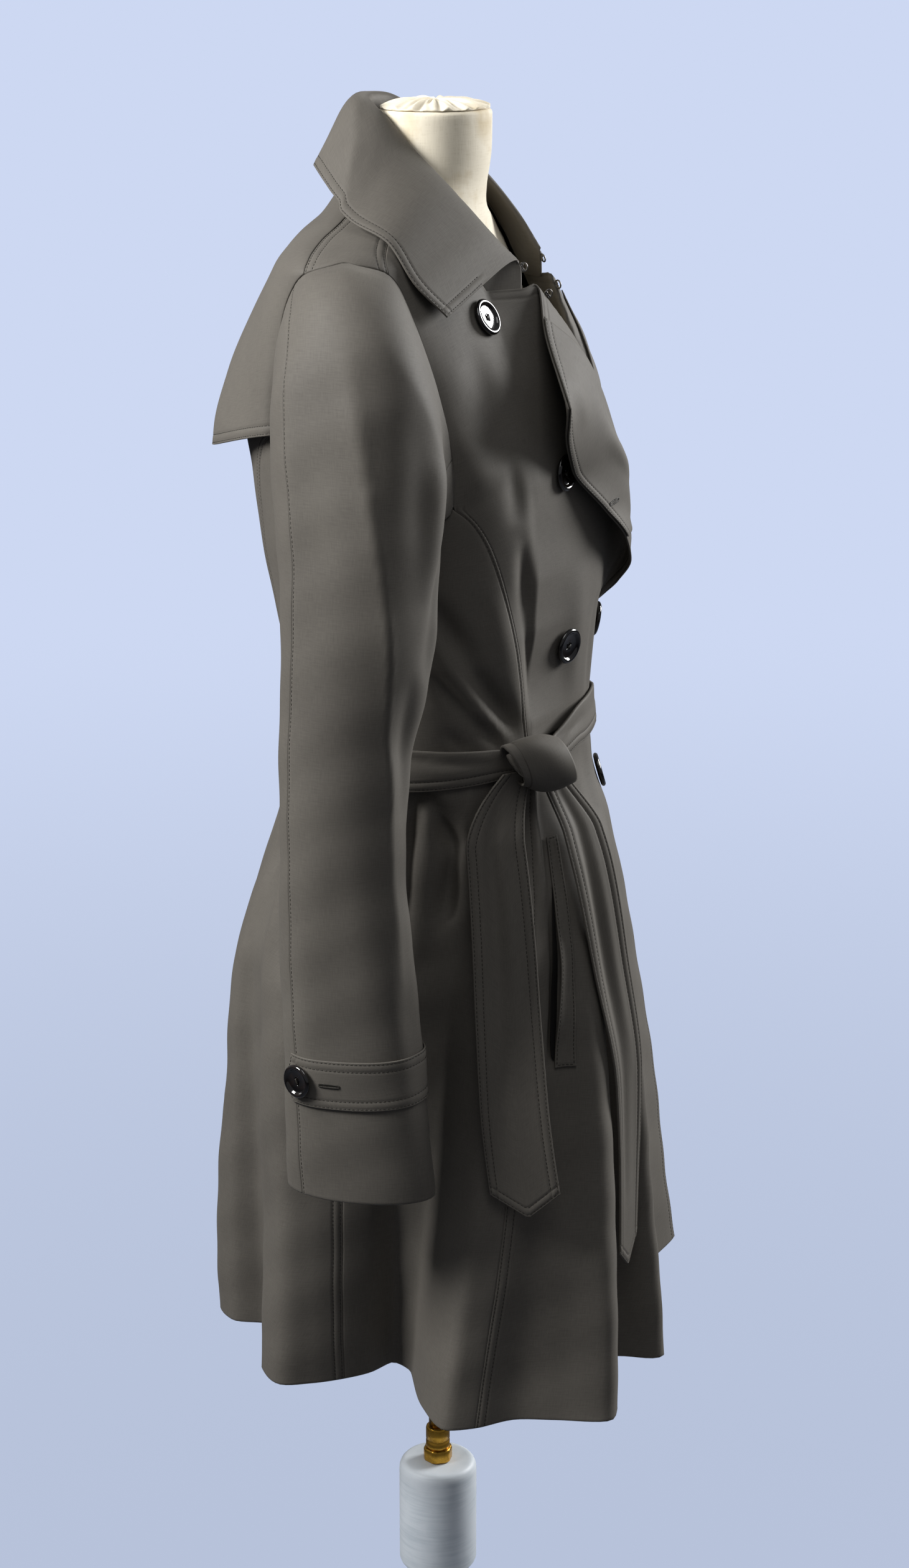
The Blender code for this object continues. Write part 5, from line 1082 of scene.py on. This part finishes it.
def bodice():
    """Fronts, facings, sides, back, yokes and cape."""
    front("front_right", 1)
    front("front_left", -1)
    for name, sign, share in (("facing_right", 1, 6 / 14), ("facing_left", -1, 9 / 14)):
        facing(name, sign, WAIST_Z + (LAPEL_TOP - WAIST_Z) * share)
    back_seam = eased(BACK_PRINCESS + [armhole(BACK_TURN)], 56)
    both = {"left": "double", "right": "double"}
    for sign, name in ((1, "right"), (-1, "left")):
        ahead = eased(princess(sign) + [armhole(PRINCESS_TURN)], 56)
        yoke_ahead = eased([armhole(YOKE_FRONT_TURN)] + YOKE_FRONT, 16)
        yoke_behind = eased([armhole(YOKE_BACK_TURN)] + YOKE_BACK, 16)
        underarm = armhole(np.linspace(PRINCESS_TURN, BACK_TURN, 40))
        over_sleeve = armhole(np.linspace(YOKE_FRONT_TURN, YOKE_BACK_TURN - 360, 14))
        for node_name, left, right, bottom, top, sides, step in (
                ("side_", ahead, back_seam, np.linspace(ahead[0], back_seam[0], 40), underarm, {}, STEP),
                ("yoke_", yoke_ahead, yoke_behind, over_sleeve,
                 np.linspace(yoke_ahead[-1], yoke_behind[-1], 14), both, 0.0025)):
            grid = patch(left, right, bottom, top, lambda angle, height: body(sign * angle, height))
            grid = grid[:, ::-1] if sign > 0 else grid
            sewn_cloth(node_name + name, grid, WALL, sides, step)
    shoulder = np.concatenate([armhole(np.linspace(BACK_TURN, YOKE_BACK_TURN, 40)),
                               eased([armhole(YOKE_BACK_TURN)] + YOKE_BACK, 14)[1:]])
    grid = across_back(np.concatenate([back_seam, shoulder[1:]]), body)
    sewn_cloth("back", grid, WALL, both, side_end=armhole(BACK_TURN)[1])
    # the cape's sides are sewn down into the armhole seams
    grid = across_back(shoulder, cape, CAPE_DIP)
    held_down = across_back(shoulder, lambda angle, height: lifted(body, angle, height, 0.0006)[0], CAPE_DIP)
    run = np.cumsum(np.linalg.norm(np.diff(grid, axis=1, prepend=grid[:, :1]), axis=-1), 1)
    share = (1 - ramp(np.minimum(run, run[:, -1:] - run), 0, CAPE_SEWN)) ** 1.5
    grid = grid + (held_down - grid) * share[..., None]
    sides = {"left": "cape_side", "right": "cape_side", "bottom": "double"}
    sewn_cloth("cape", grid, WALL, sides)


def skirt_panels():
    """The five flared skirt panels, each sewn to the bodice panel of the same name."""
    for name, first, last, edge in (("skirt_front_right", 0, SEAM_RIGHT_FRONT, "double"),
                                    ("skirt_side_right", SEAM_RIGHT_FRONT, SEAM_RIGHT_SIDE, "seam"),
                                    ("skirt_back", SEAM_RIGHT_SIDE, SEAM_LEFT_SIDE, "double"),
                                    ("skirt_side_left", SEAM_LEFT_SIDE, SEAM_LEFT_FRONT, "seam"),
                                    ("skirt_front_left", SEAM_LEFT_FRONT, LAST_STATION, "double")):
        stations = np.linspace(last, first, (last - first) * 9 + 1)[None]
        heights = np.linspace(HEM_Z, WAIST_Z - 2 * SEAM, 130)[:, None]
        grid = skirt(stations, heights)
        mouth = creased(POCKET_MOUTHS.get(name, []), stations, heights, SKIRT_STATION)
        grid = grid + normals(grid) * mouth[..., None]
        sides = {"left": edge, "right": edge, "bottom": "hem"}
        sewn_cloth(name, grid, WALL, sides, 0.0038)


def sleeves():
    """Top and under sleeves with their cuff straps."""
    rings = np.linspace(SLEEVE.keys[-1], 0, 170)[:, None]
    behind, ahead = SLEEVE_SEAMS
    top = sleeve(np.linspace(behind, ahead, 76)[None], rings)
    under = sleeve(np.linspace(ahead, behind + 360, 60)[None], rings)
    turns, up = np.linspace(STRAP_START, STRAP_END, 90)[None], np.linspace(-1, 1, 12)[:, None]
    t = ramp(turns, STRAP_START, STRAP_END - STRAP_START)
    # the strap's end comes to a blunt point
    strap = cuff(turns + 11.0 * np.abs(up) * (1 - t) ** 8, STRAP_Z + up * STRAP_WIDTH / 2 + 0.004 * t ** 2)
    strap = strap + normals(strap) * STRAP_LIFT
    strap_sides = {"left": "double", "right": "single", "bottom": "double", "top": "double"}
    for name in ("right", "left"):
        for node_name, grid, thick, held, carrier, sides, step in (
                ("top_sleeve_", top, WALL, "hung", "yoke_", {"left": "single", "bottom": "hem"}, 0.0040),
                ("under_sleeve_", under, WALL, "hung", "yoke_", {"bottom": "hem"}, 0.0040),
                ("cuff_strap_", strap, THIN, "laid", "top_sleeve_", strap_sides, 0.0025)):
            if name == "left":
                grid, sides = mirrored(grid, sides)
            sewn_cloth(node_name + name, grid, thick, sides, step)


def collar_piece():
    """The turned-down collar, stitched along its outer edge and its ends."""
    rises = np.linspace(0, 1, 72)[:, None]
    right = collar(-1, np.linspace(1, 0, 90)[None], rises)
    left = collar(1, np.linspace(0, 1, 90)[None], rises)
    sides = {"left": "double", "right": "double", "bottom": "seam", "top": "double"}
    grid = drawn(np.concatenate([right, left[:, 1:]], 1), sides, 0.0030)
    lines, wall = sewn_lines(grid.shape[:2], sides)
    # the ends are sewn on the fall alone, which starts half way up
    half = grid.shape[0] // 2
    kept = [(side, row[row > half], column[row > half]) for side, row, column in lines]
    wall[:half, :10] = wall[:half, -10:] = 1.0
    sewn_cloth("collar", grid, WALL, (kept, wall))


# The belt

def belt_band():
    """The band from the knot, right round the waist and back to it."""
    first, last = KNOT_ANGLE + 7.0, 360 + KNOT_ANGLE - 8.0
    angles, across = np.linspace(last, first, 300)[None], np.linspace(-1, 1, 14)[:, None]
    to_knot = np.minimum(angles - first, last - angles)
    rise = BELT_CLIMB * smooth(ramp(angles, last, -26)) * smooth(ramp(angles, 318, 30))
    height = BELT_Z + rise + across * BELT_WORN / 2 * (0.62 + 0.38 * np.minimum(1.0, to_knot / 30) ** 0.7)
    wrapped = np.where(angles > 360, angles - 360, angles)
    soft = creased(BELT_CREASES, wrapped, across, BODY_DEGREE, BELT_WORN / 2)
    under_knot = 0.0045 * (1 - ramp(to_knot, 0, 7)) ** 2
    grid = belt(angles, height, BELT_LIFT + 0.0007 * (1 - across ** 2) + soft + under_knot)
    sewn_cloth("belt_band", grid, BELT_WALL, {"bottom": "double"}, 0.0030)


def belt_tails():
    """The two hanging ends, pointed, and turned in under the knot between two of its angles."""
    for name, table, start, end in (("belt_tail_near", NEAR_TAIL, 11.5, 0.5),
                                    ("belt_tail_far", FAR_TAIL, -1.0, -9.5)):
        across = np.linspace(-1, 1, 26)[None]
        low, high = table.keys[0], table.keys[-1] + 0.0080
        foot = low + TAIL_POINT * np.abs(across)
        height = foot + (high - foot) * np.linspace(0, 1, 110)[:, None]
        x, y, width, facing_angle = table.at(np.minimum(height, table.keys[-1]))
        turn = np.radians(facing_angle)
        level = stacked(np.cos(turn), np.sin(turn), 0)
        flat = stacked(x, y, height) + level * (across * width / 2)[..., None]
        tucked = belt(KNOT_ANGLE + start + (end - start) * (across + 1) / 2, height, 0.0105)
        share = ramp(height, high - TAIL_TUCK, TAIL_TUCK) ** 1.5
        grid = flat + (tucked - flat) * share[..., None]
        soft = creased(TAIL_CREASES, across, (height - low) / (high - low), TAIL_WIDTH, TAIL_LENGTH)
        cup = 0.0022 * (across ** 2 - 0.4) * ramp(height, low, 0.1)
        grid = grid + normals(grid) * ((soft + cup) * (1 - share))[..., None]
        sewn_cloth(name, grid, BELT_WALL,
                   {"left": "double", "right": "double", "bottom": "double"}, 0.0028)


def belt_loops():
    """The loops at the sides: up over the band, with both ends sewn to the coat."""
    lift = WALL + GAP * 2 + BELT_WALL + THIN / 2 + 0.0018
    half = BELT_WORN / 2 + 0.0040
    section = np.array([(-half - 0.004, 0.0019), (-half, lift * 0.80), (-half * 0.8, lift),
                        (0, lift + 0.0006),
                        (half * 0.8, lift), (half, lift * 0.80), (half + 0.004, 0.0019)])
    outline = through(section, np.linspace(0, 1, 40))
    for name, angle in (("belt_loop_right", 92.0), ("belt_loop_left", -92.0)):
        grid = belt(np.linspace(angle + 2.2, angle - 2.2, 8)[None], BELT_Z + outline[:, :1], outline[:, 1:])
        sides = {"left": "single", "right": "single"}
        sewn_cloth(name, grid, THIN, sides, 0.0020)


def knot():
    """The knot: the belt's turn over itself, a second turn showing at its side, and the folds within."""
    centre = belt(KNOT_ANGLE, BELT_Z, KNOT_LIFT)
    out = outward(centre)
    along = np.array((-out[1], out[0], 0.0))
    turns = np.linspace(-np.pi, np.pi, 81)[None]

    def turn_of_belt(start, end, deep, tall, lean, pinch):
        """A closed turn of the belt round the knot, from one side of it to the other."""
        w = np.linspace(start, end, 30)[:, None]
        size = 1 - pinch * (w - 0.1) ** 2
        ripple = 1 + 0.020 * np.sin(3 * turns + 2.5 * w) + 0.012 * np.sin(5 * turns - 3 * w + 1)
        shape = (centre + along * (w * 0.0200 - lean * np.sin(turns))[..., None]
                 + out * (deep * size * ripple * np.cos(turns))[..., None]
                 + UPWARD * (tall * size * ripple * np.sin(turns) - 0.0010 * w)[..., None])
        return shape[::-1]

    outer_turn = turn_of_belt(-0.90, 1.08, 0.0152, 0.0212, 0.0065, 0.20)
    wrap = cloth("belt_knot_wrap", outer_turn, KNOT_WALL, SOFTSHELL)
    second_turn = turn_of_belt(-1.22, 0.5, 0.0134, 0.0186, 0.0075, 0.10)
    second = cloth("belt_knot_second_turn", second_turn, KNOT_WALL, SOFTSHELL)
    rings = []
    for w in np.linspace(-1.1, 1.1, 9):
        size = 1 - 0.25 * w * w
        rings.append(turn_of_belt(w, w + 0.001, 0.0092 * size, 0.0135 * size, 0.0065, 0)[0, :-1])
    core = loft("belt_knot_folds", rings, SOFTSHELL)
    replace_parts(wrap, "belt_knot")


def loft(name, rings, surface_finish):
    """A closed solid through rings of points, its two ends filled."""
    points, faces = np.concatenate(rings), tube_faces(0, len(rings), len(rings[0]))
    return add(name, made_mesh(name, points, faces), surface_finish)


def tube_faces(first, rings, count):
    """The faces of a closed tube: rings of count points from point number first on, and its two ends."""
    sides = [(low + i, low + (i + 1) % count, low + count + (i + 1) % count, low + count + i)
             for low in range(first, first + (rings - 1) * count, count) for i in range(count)]
    last = first + (rings - 1) * count
    return sides + [tuple(range(first, first + count))[::-1], tuple(range(last, last + count))]


# Pockets, buttonholes, buttons, hooks

def welts():
    """The slanted pocket welts, each gaping along its free edge over a near-black sheet of painted shade."""
    t, column = np.linspace(0, 1, 90)[:, None], np.linspace(0, 1, 16)[None]
    height = WELT_LOW_Z + (WELT_HIGH_Z - WELT_LOW_Z) * t
    low, over = np.linspace(0, 1, 60)[:, None], np.linspace(-0.06, 1, 10)[None]
    wide = 0.68 * low ** 0.5 * (1 - low) ** 0.9
    for side, station, slant, way in (("right", 9.35, -0.15, 1), ("left", 44.15, 0.45, -1)):
        open_edge = 1 - column if way > 0 else column
        place = station + slant * t - 0.75 * way * (1 - open_edge)
        gape = WELT_GAPE * open_edge ** 1.5 * np.sin(np.pi * np.clip(t * 1.35 - 0.02, 0, 1)) ** 2
        lift = WALL / 2 + 2 * GAP + THIN / 2 + gape
        grid = lifted(skirt, place, height + 0 * column, lift, 0.05, 0.003)[0]
        # a near-black sheet of painted shade in the pocket mouth, under the welt's gape
        free = station + slant * (0.03 + 0.77 * low)
        mouth = lifted(skirt, free + wide * over * way, MOUTH_LOW_Z + MOUTH_LENGTH * low + 0 * over,
                       POCKET_SHADE_LIFT + 0 * (low + over), 0.05, 0.003)[0]
        inside = cloth("pocket_mouth_shade_" + side, mouth, POCKET_SHADE_WALL, POCKET_PAINTED_SHADE)
        sewn_cloth("pocket_welt_" + side, grid, THIN,
                   dict.fromkeys(ALL_SEAMS, "single"), 0.0020, more=[inside])


def seat(surface, u, v, reach_u, reach_v, lift):
    """A flat piece's seat: clear of the surface all round, and square to it."""
    around = np.array([(-1, 0), (1, 0), (0, -1), (0, 1), (-0.7, -0.7), (0.7, -0.7), (-0.7, 0.7), (0.7, 0.7)])
    samples = surface(u + reach_u * around[:, 0], v + reach_v * around[:, 1])
    normal = unit(np.cross(samples[1] - samples[0], samples[3] - samples[2]))
    middle = surface(np.array(float(u)), np.array(float(v)))
    if normal[0] * middle[0] + normal[1] * middle[1] < 0:
        normal = -normal
    highest = np.max((samples - middle) @ normal)
    return middle + normal * (max(0.0, highest) + lift), normal


def circle(radius, height, count, middle_x=0.0):
    """A level ring of points."""
    around = np.linspace(0, 2 * np.pi, count, endpoint=False)
    return stacked(middle_x + radius * np.cos(around), radius * np.sin(around), height)


def button(node_name, radius, place, normal):
    """A cast button: raised rim, dished middle, two holes and the thread through them."""
    profile = [(0.30, 0.50), (0.60, 0.53), (0.68, 0.60), (0.72, 0.78), (0.77, 0.92), (0.84, 1.0),
               (0.91, 0.96), (0.97, 0.80), (1.0, 0.58), (0.985, 0.36), (0.93, 0.18), (0.82, 0.08),
               (0.5, 0.0)]
    disc = loft(node_name + "_disc", [circle(radius * r, BUTTON_H * z, 72) for r, z in profile], HORN_RESIN)
    for side in (-1, 1):
        hole = np.concatenate([circle(HOLE_R, z, 20, side * HOLE_OFF) for z in (-0.01, 0.01)])
        drill = placed("drill", made_mesh("drill", hole, tube_faces(0, 2, 20), False))
        cut = disc.modifiers.new("hole", "BOOLEAN")
        cut.operation, cut.object, cut.solver = "DIFFERENCE", drill, "EXACT"
        bpy.context.view_layer.update()
        evaluated = disc.evaluated_get(bpy.context.evaluated_depsgraph_get())
        drilled = bpy.data.meshes.new_from_object(evaluated)
        disc.modifiers.clear()
        disc.data = drilled
        bpy.data.objects.remove(drill)
    turn = Vector((0, 0, 1)).rotation_difference(Vector(normal)).to_matrix().to_4x4()
    set_down = Matrix.Translation(Vector(place)) @ turn
    disc.data.transform(set_down)
    # three turns of thread, up through one hole, over the bridge and down the other
    top = BUTTON_H / 2
    bars = []
    for shift in (-0.00045, 0.0, 0.00045):
        path = [(-HOLE_OFF, 0.0012), (-0.0020, top + 0.0002), (-0.0010, top + 0.00055),
                (0.0010, top + 0.00055), (0.0020, top + 0.0002), (HOLE_OFF, 0.0012)]
        bars.append([set_down @ Vector((x, shift, z)) for x, z in path])
    tube(node_name + "_thread", bars, BUTTON_THREAD_R, THREAD)
    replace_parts(disc, node_name)


def tube(name, paths, radius, surface_finish, sides=8):
    """Round wire or thread along each path, with closed ends."""
    points, faces = [], []
    around = np.linspace(0, 2 * np.pi, sides, endpoint=False)[:, None]
    for path in paths:
        path = np.array([tuple(point) for point in path])
        line = through(path, np.linspace(0, 1, max(24, 5 * len(path))))
        ahead = unit(np.gradient(line, axis=0))
        side = unit(np.cross(ahead, unit(line.mean(0) - line[0] + np.array((0.31, 0.17, 0.93)))))
        rise = np.cross(side, ahead)
        faces += tube_faces(len(points), len(line), sides)
        for middle, way, up in zip(line, side, rise):
            points += list(middle + radius * (np.cos(around) * way + np.sin(around) * up))
    return add(name, made_mesh(name, points, faces), surface_finish)


def buttons():
    """Two columns of four on the fronts, and one on each cuff."""
    for name, surface, u, height, reach, lower in (
            ("button_right_1", body, 49.0, 1.308, 9.0, 0),
            ("button_left_1", left_chest, 49.0, 1.308, 8.0, 0),
            ("button_right_2", right_strip, 0.11, 1.193, 0.05, 0),
            ("button_left_2", left_chest, 46.0, 1.193, 8.0, 0),
            ("button_right_3", right_strip, 0.13, 1.060, 0.05, 0),
            ("button_left_3", right_strip, 0.66, 1.054, 0.12, -0.0002),
            ("button_right_4", skirt, 6.2, 0.931, 0.65, 0),
            ("button_left_4", skirt, 1.3, 0.931, 0.66, 0.0002)):
        button(name, BUTTON_R, *seat(surface, u, height, reach, BUTTON_R, BUTTON_SEAT - lower))
    off = STRAP_LIFT + THIN / 2 + 2 * GAP
    place, normal = seat(cuff, -37.0, STRAP_Z, 14.0, CUFF_BUTTON_R, off)
    button("cuff_button_right", CUFF_BUTTON_R, place, normal)
    button("cuff_button_left", CUFF_BUTTON_R, place * MIRROR, normal * MIRROR)


def buttonhole(name, surface, start, end, lift, face):
    """A worked buttonhole: a narrow loop of close zigzag stitches round its slit."""
    start, end = np.array(start, float), np.array(end, float)
    turn = np.linspace(0, 2 * np.pi, 240)
    middle = surface(*np.moveaxis(start + (end - start) * (1 - np.cos(turn[:, None])) / 2, -1, 0))
    across = unit(np.cross(unit(surface(*end) - surface(*start)), face))
    zigzag = np.where(np.arange(240) % 2 == 0, 0.0004, -0.0004)
    reach = 0.0011 * np.sign(np.sin(turn)) * np.abs(np.sin(turn)) ** 0.35
    line = middle + across * (reach + zigzag)[:, None] + face * lift
    return tube(name, [line], BUTTONHOLE_R, THREAD, 6)


def buttonholes():
    """The worked buttonholes that show: on the cuff straps and on the turned-out extensions' facings."""
    off = STRAP_LIFT + THIN / 2 + 0.0004
    hole = buttonhole("cuff_buttonhole_right", cuff, (-19.0, STRAP_Z), (-2.0, STRAP_Z), off,
                      np.array((-1.0, 0.0, 0.0)))
    other = hole.data.copy()
    other.transform(Matrix.Scale(-1, 4, Vector((1, 0, 0))))
    other.flip_normals()
    add("cuff_buttonhole_left", other, THREAD)
    off = WALL / 2 + THIN + 2.6 * GAP
    start, end = 0.885, 0.960
    for name, sign, height in (("buttonhole_right_2", 1, 1.169), ("buttonhole_left_1", -1, 1.268)):
        grid = strip(sign, np.array((height - 0.004, height + 0.004))[:, None], np.array((start, end))[None])
        inward = -normals(grid if sign > 0 else grid[:, ::-1]).mean((0, 1))
        buttonhole(name, lambda level, across: strip(sign, level, across), (height, start), (height, end),
                   off, inward)


def hooks():
    """Two hooks at the right neck edge and two eyes at the left, sewn below the collar's ends."""
    for name, side, sign in (("hook_", -1, 1), ("eye_", 1, -1)):
        end, inner = collar(side, 1.0, 0.27), collar(side, 0.94, 0.27)
        wire_loop(name + "1", end, end - inner, collar(side, 1.0, 0.37) - collar(side, 1.0, 0.17), GAP)
        low = LAPEL_TOP - 0.008
        fold, inner = strip(sign, low, 0.5), strip(sign, low, 0.35)
        edge = strip(sign, low + 0.006, 0.5) - strip(sign, low - 0.006, 0.5)
        wire_loop(name + "2", fold, fold - inner, edge, GAP + WALL / 2)


def wire_loop(node_name, anchor, ahead, edge, clear):
    """A bent wire just off the cloth, square to the cloth's edge, with a sewn ring at each foot."""
    edge = unit(edge)
    ahead = unit(ahead - edge * np.dot(ahead, edge))
    start = anchor + ahead * clear
    turn = np.pi * np.linspace(-0.8, 0.8, 15)[:, None]
    loop = start + ahead * WIRE_REACH * (1 + np.cos(turn)) / 2 + edge * WIRE_REACH * 0.55 * np.sin(turn)
    feet = (loop[0], loop[-1])
    turn = np.linspace(0, 2 * np.pi, 13)[:, None]
    ring = ahead * WIRE_RING * (1 - np.cos(turn)) * 0.6 + edge * WIRE_RING * np.sin(turn)
    rings = [foot + ring for foot in feet]
    wire = tube(node_name + "_wire", [loop] + rings, WIRE_R, STEEL_WIRE, 10)
    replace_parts(wire, node_name)
    ties = [[foot - ahead * 0.0016 + edge * 0.0004, foot - ahead * 0.0002 + np.cross(edge, ahead) * 0.0008,
             foot + ahead * 0.0010 - edge * 0.0004] for foot in feet]
    tube(node_name + "_thread", ties, TIE_R, THREAD, 6)


# Dress form and stand

def form():
    """The limbless dress form: hips, waist, bust and shoulders, up to a cut neck with a gathered cap."""
    trunk, shoulders = np.linspace(FORM_LOW_Z, 1.300, 70), np.linspace(1.306, FORM_HIGH_Z, 40)
    heights = np.concatenate([trunk, shoulders])[:, None]
    angles = -np.linspace(0, 360, 96, endpoint=False)[None]
    turn = np.radians(angles)
    half_width, front_depth, back_depth = HIPS.at(np.minimum(heights, HIPS.keys[-1]))
    radius = oval(turn, half_width, front_depth, back_depth)
    hips = stacked(-radius * np.sin(turn), -radius * np.cos(turn), heights)
    inset = FORM_INSET.at(heights)[0]
    bust = lifted(smooth_body, angles + 0 * heights, heights + 0 * angles, -inset + 0 * angles)[0]
    neck_width, neck_depth, neck_y = NECK.at(heights)
    neck = stacked(-neck_width * np.sin(turn), neck_y - neck_depth * np.cos(turn), heights)
    waist_share = smooth(ramp(heights, BUST_Z, BUST_EASE))[..., None]
    neck_share = smooth(ramp(heights, NECK_Z, NECK_EASE))[..., None]
    points = hips * (1 - waist_share) + bust * waist_share
    points = points * (1 - neck_share) + neck * neck_share
    rim = [points[-1] * (1 - share * LEVEL) + rise * UPWARD
           for share, rise in ((0.012, 0.0016), (0.045, 0.0028), (0.10, 0.0030))]
    linen_form = loft("linen_dress_form", list(points) + rim, LINEN)
    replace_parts(linen_form, "dress_form")
    # the cap: cloth gathered into the middle, with pleats that deepen towards it
    around = np.linspace(0, 2 * np.pi, 240, endpoint=False)
    rings = [stacked(0.0455 * np.cos(around), 0.0395 * np.sin(around), NECK_TOP_Z + GAP)]
    for share in np.linspace(1, 0.02, 26):
        pleat = (0.0010 * np.sin(17 * around + 2 * share) + 0.0007 * np.sin(29 * around - 5 * share + 1)
                 + 0.0005 * np.sin(7 * around + 1.7)) * (0.25 + share) * min(1.0, share * 6)
        swell = 0.0008 + 0.0058 * (1 - share ** 3) + 1.6 * pleat * (1 - 0.5 * share)
        edge = 1 + 0.006 * np.sin(11 * around + 0.6) * share
        rings.append(stacked(0.0462 * share * edge * np.cos(around), 0.0402 * share * edge * np.sin(around),
                             NECK_TOP_Z + GAP + np.maximum(swell, 0.0004)))
    cap = loft("gathered_neck_cap", rings, LINEN)
    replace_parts(cap, "neck_cap")


def turned(name, profile, surface_finish, segments=96, sides=None):
    """A turned piece: its profile of radius and height from below to the top, and its number of flats."""
    around = np.linspace(0, 2 * np.pi, segments, endpoint=False)
    reach = np.ones(segments)
    if sides:
        half = np.pi / sides
        reach = np.minimum(1.0, 1.09 * np.cos(half) / np.cos(around % (2 * half) - half))
    rings = [stacked(r * reach * np.cos(around), r * reach * np.sin(around), z) for r, z in profile]
    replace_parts(loft(name + "_turned", rings, surface_finish), name)


def stand():
    """Pole, brass socket and nut, painted post and a weighted base."""
    turned("pole", [(0.0072, 0.3703), (0.0075, 0.3706), (0.0075, 0.7494), (0.0072, 0.7497)], GILT)
    turned("brass_socket", [
        (0.0098, 0.3503), (0.01, 0.3507), (0.01, 0.356), (0.0094, 0.3565), (0.0094, 0.358),
        (0.01, 0.3585), (0.01, 0.3672), (0.0096, 0.369), (0.0086, 0.37),
    ], BRASS)
    turned("brass_nut", [
        (0.0108, 0.3383), (0.0118, 0.339), (0.012, 0.34), (0.012, 0.3482), (0.0116, 0.3494),
        (0.0106, 0.35),
    ], BRASS, 96, 6)
    turned("stand_post", [
        (0.0318, 0.0303), (0.0325, 0.0315), (0.0325, 0.05), (0.0312, 0.0545), (0.028, 0.061),
        (0.0258, 0.069), (0.0255, 0.072), (0.0255, 0.235), (0.0262, 0.2375), (0.029, 0.241),
        (0.0316, 0.2445), (0.0325, 0.247), (0.0325, 0.329), (0.0322, 0.3325), (0.0312, 0.3352),
        (0.0296, 0.3371), (0.0275, 0.3379), (0.025, 0.338),
    ], PAINT)
    turned("stand_base", [
        (0.183, 0.0), (0.185, 0.0015), (0.185, 0.0085), (0.1838, 0.0105), (0.181, 0.012), (0.156, 0.02),
        (0.154, 0.0206), (0.0815, 0.0296), (0.079, 0.03), (0.04, 0.03),
    ], PAINT, 128)


def studio():
    """A plain pale floor, soft light and the camera at a standing height on the wearer's right."""
    heading, pitch = math.radians(HEADING), math.atan(HORIZON / FOCAL)
    ahead = Vector((math.cos(heading), math.sin(heading), 0))
    rightward = Vector((math.sin(heading), -math.cos(heading), 0))
    look = ahead * math.cos(pitch) - Vector((0, 0, 1)) * math.sin(pitch)
    turn = Matrix((rightward, rightward.cross(look), -look)).transposed()
    camera = placed("camera", bpy.data.cameras.new("camera"))
    stands = Vector((0, 0, CAMERA_Z)) - ahead * CAMERA_AWAY + rightward * CAMERA_ASIDE
    camera.matrix_world = Matrix.Translation(stands) @ turn.to_4x4()
    camera.data.sensor_width = SENSOR
    camera.data.lens = SENSOR * FOCAL / IMAGE_HIGH
    bpy.context.scene.camera = camera

    # seamless paper: it glows like the backdrop that it runs into, with painted shade making it a little
    # darker round the stand
    made, tree, shader = finish("pale_studio_floor", Roughness=0.9, Base_Color=linear("#4A4D55"))
    place = node(tree, "TexCoord", output="Object")
    reach = node(tree, "VectorMath", {0: place}, "Value", operation="LENGTH")
    far = node(tree, "MapRange", {"Value": reach, "From Min": 0.3, "From Max": 4.5},
               interpolation_type="SMOOTHSTEP")
    # the darker colour near the stand is painted shade
    paper_and_painted_shade = node(tree, "Mix", {0: far, 6: linear("#B7C2DA"), 7: linear(BACKDROP)}, 2, data_type="RGBA")
    glow = node(tree, "Emission", {"Color": paper_and_painted_shade, "Strength": 1.0})
    straight = node(tree, "LightPath", output="Is Camera Ray")
    mixed = node(tree, "MixShader", {0: straight, 1: shader.outputs[0], 2: glow})
    feed(tree, tree.nodes["Material Output"], {"Surface": mixed})
    corners = [(-FLOOR_HALF, -FLOOR_HALF, 0), (FLOOR_HALF, -FLOOR_HALF, 0), (FLOOR_HALF, FLOOR_HALF, 0),
               (-FLOOR_HALF, FLOOR_HALF, 0)]
    floor = placed("floor", made_mesh("floor", corners, [(0, 1, 2, 3)], False))
    floor.data.materials.append(made)

    # the pale backdrop is what the camera sees; the room itself gives a weak neutral light
    world = bpy.data.worlds.new("studio")
    world.use_nodes = True
    tree = world.node_tree
    seen = node(tree, "Background", {"Color": linear(BACKDROP), "Strength": 1.0})
    room = node(tree, "Background", {"Color": linear("#F0F2F8"), "Strength": 0.21})
    straight = node(tree, "LightPath", output="Is Camera Ray")
    mixed = node(tree, "MixShader", {0: straight, 1: room, 2: seen})
    feed(tree, tree.nodes["World Output"], {"Surface": mixed})
    bpy.context.scene.world = world
    bpy.context.scene.view_settings.view_transform = "Standard"
    for name, spot, aim, size, power in (("key", (-0.95, 1.25, 2.15), (-0.1, 0, 1.2), 0.7, 58),
                                         ("front", (1.80, -1.9, 1.90), (0, 0, 1.0), 1.0, 98),
                                         ("top", (-0.9, -0.5, 2.90), (0, 0, 1.3), 1.2, 9)):
        lamp = bpy.data.lights.new(name, "AREA")
        lamp.energy, lamp.size = power, size
        light = placed(name, lamp)
        light.location = spot
        light.rotation_euler = (Vector(aim) - Vector(spot)).to_track_quat("-Z", "Y").to_euler()


bodice()
skirt_panels()
sleeves()
collar_piece()
knot()
belt_band()
belt_tails()
belt_loops()
welts()
buttons()
buttonholes()
hooks()
form()
stand()
studio()
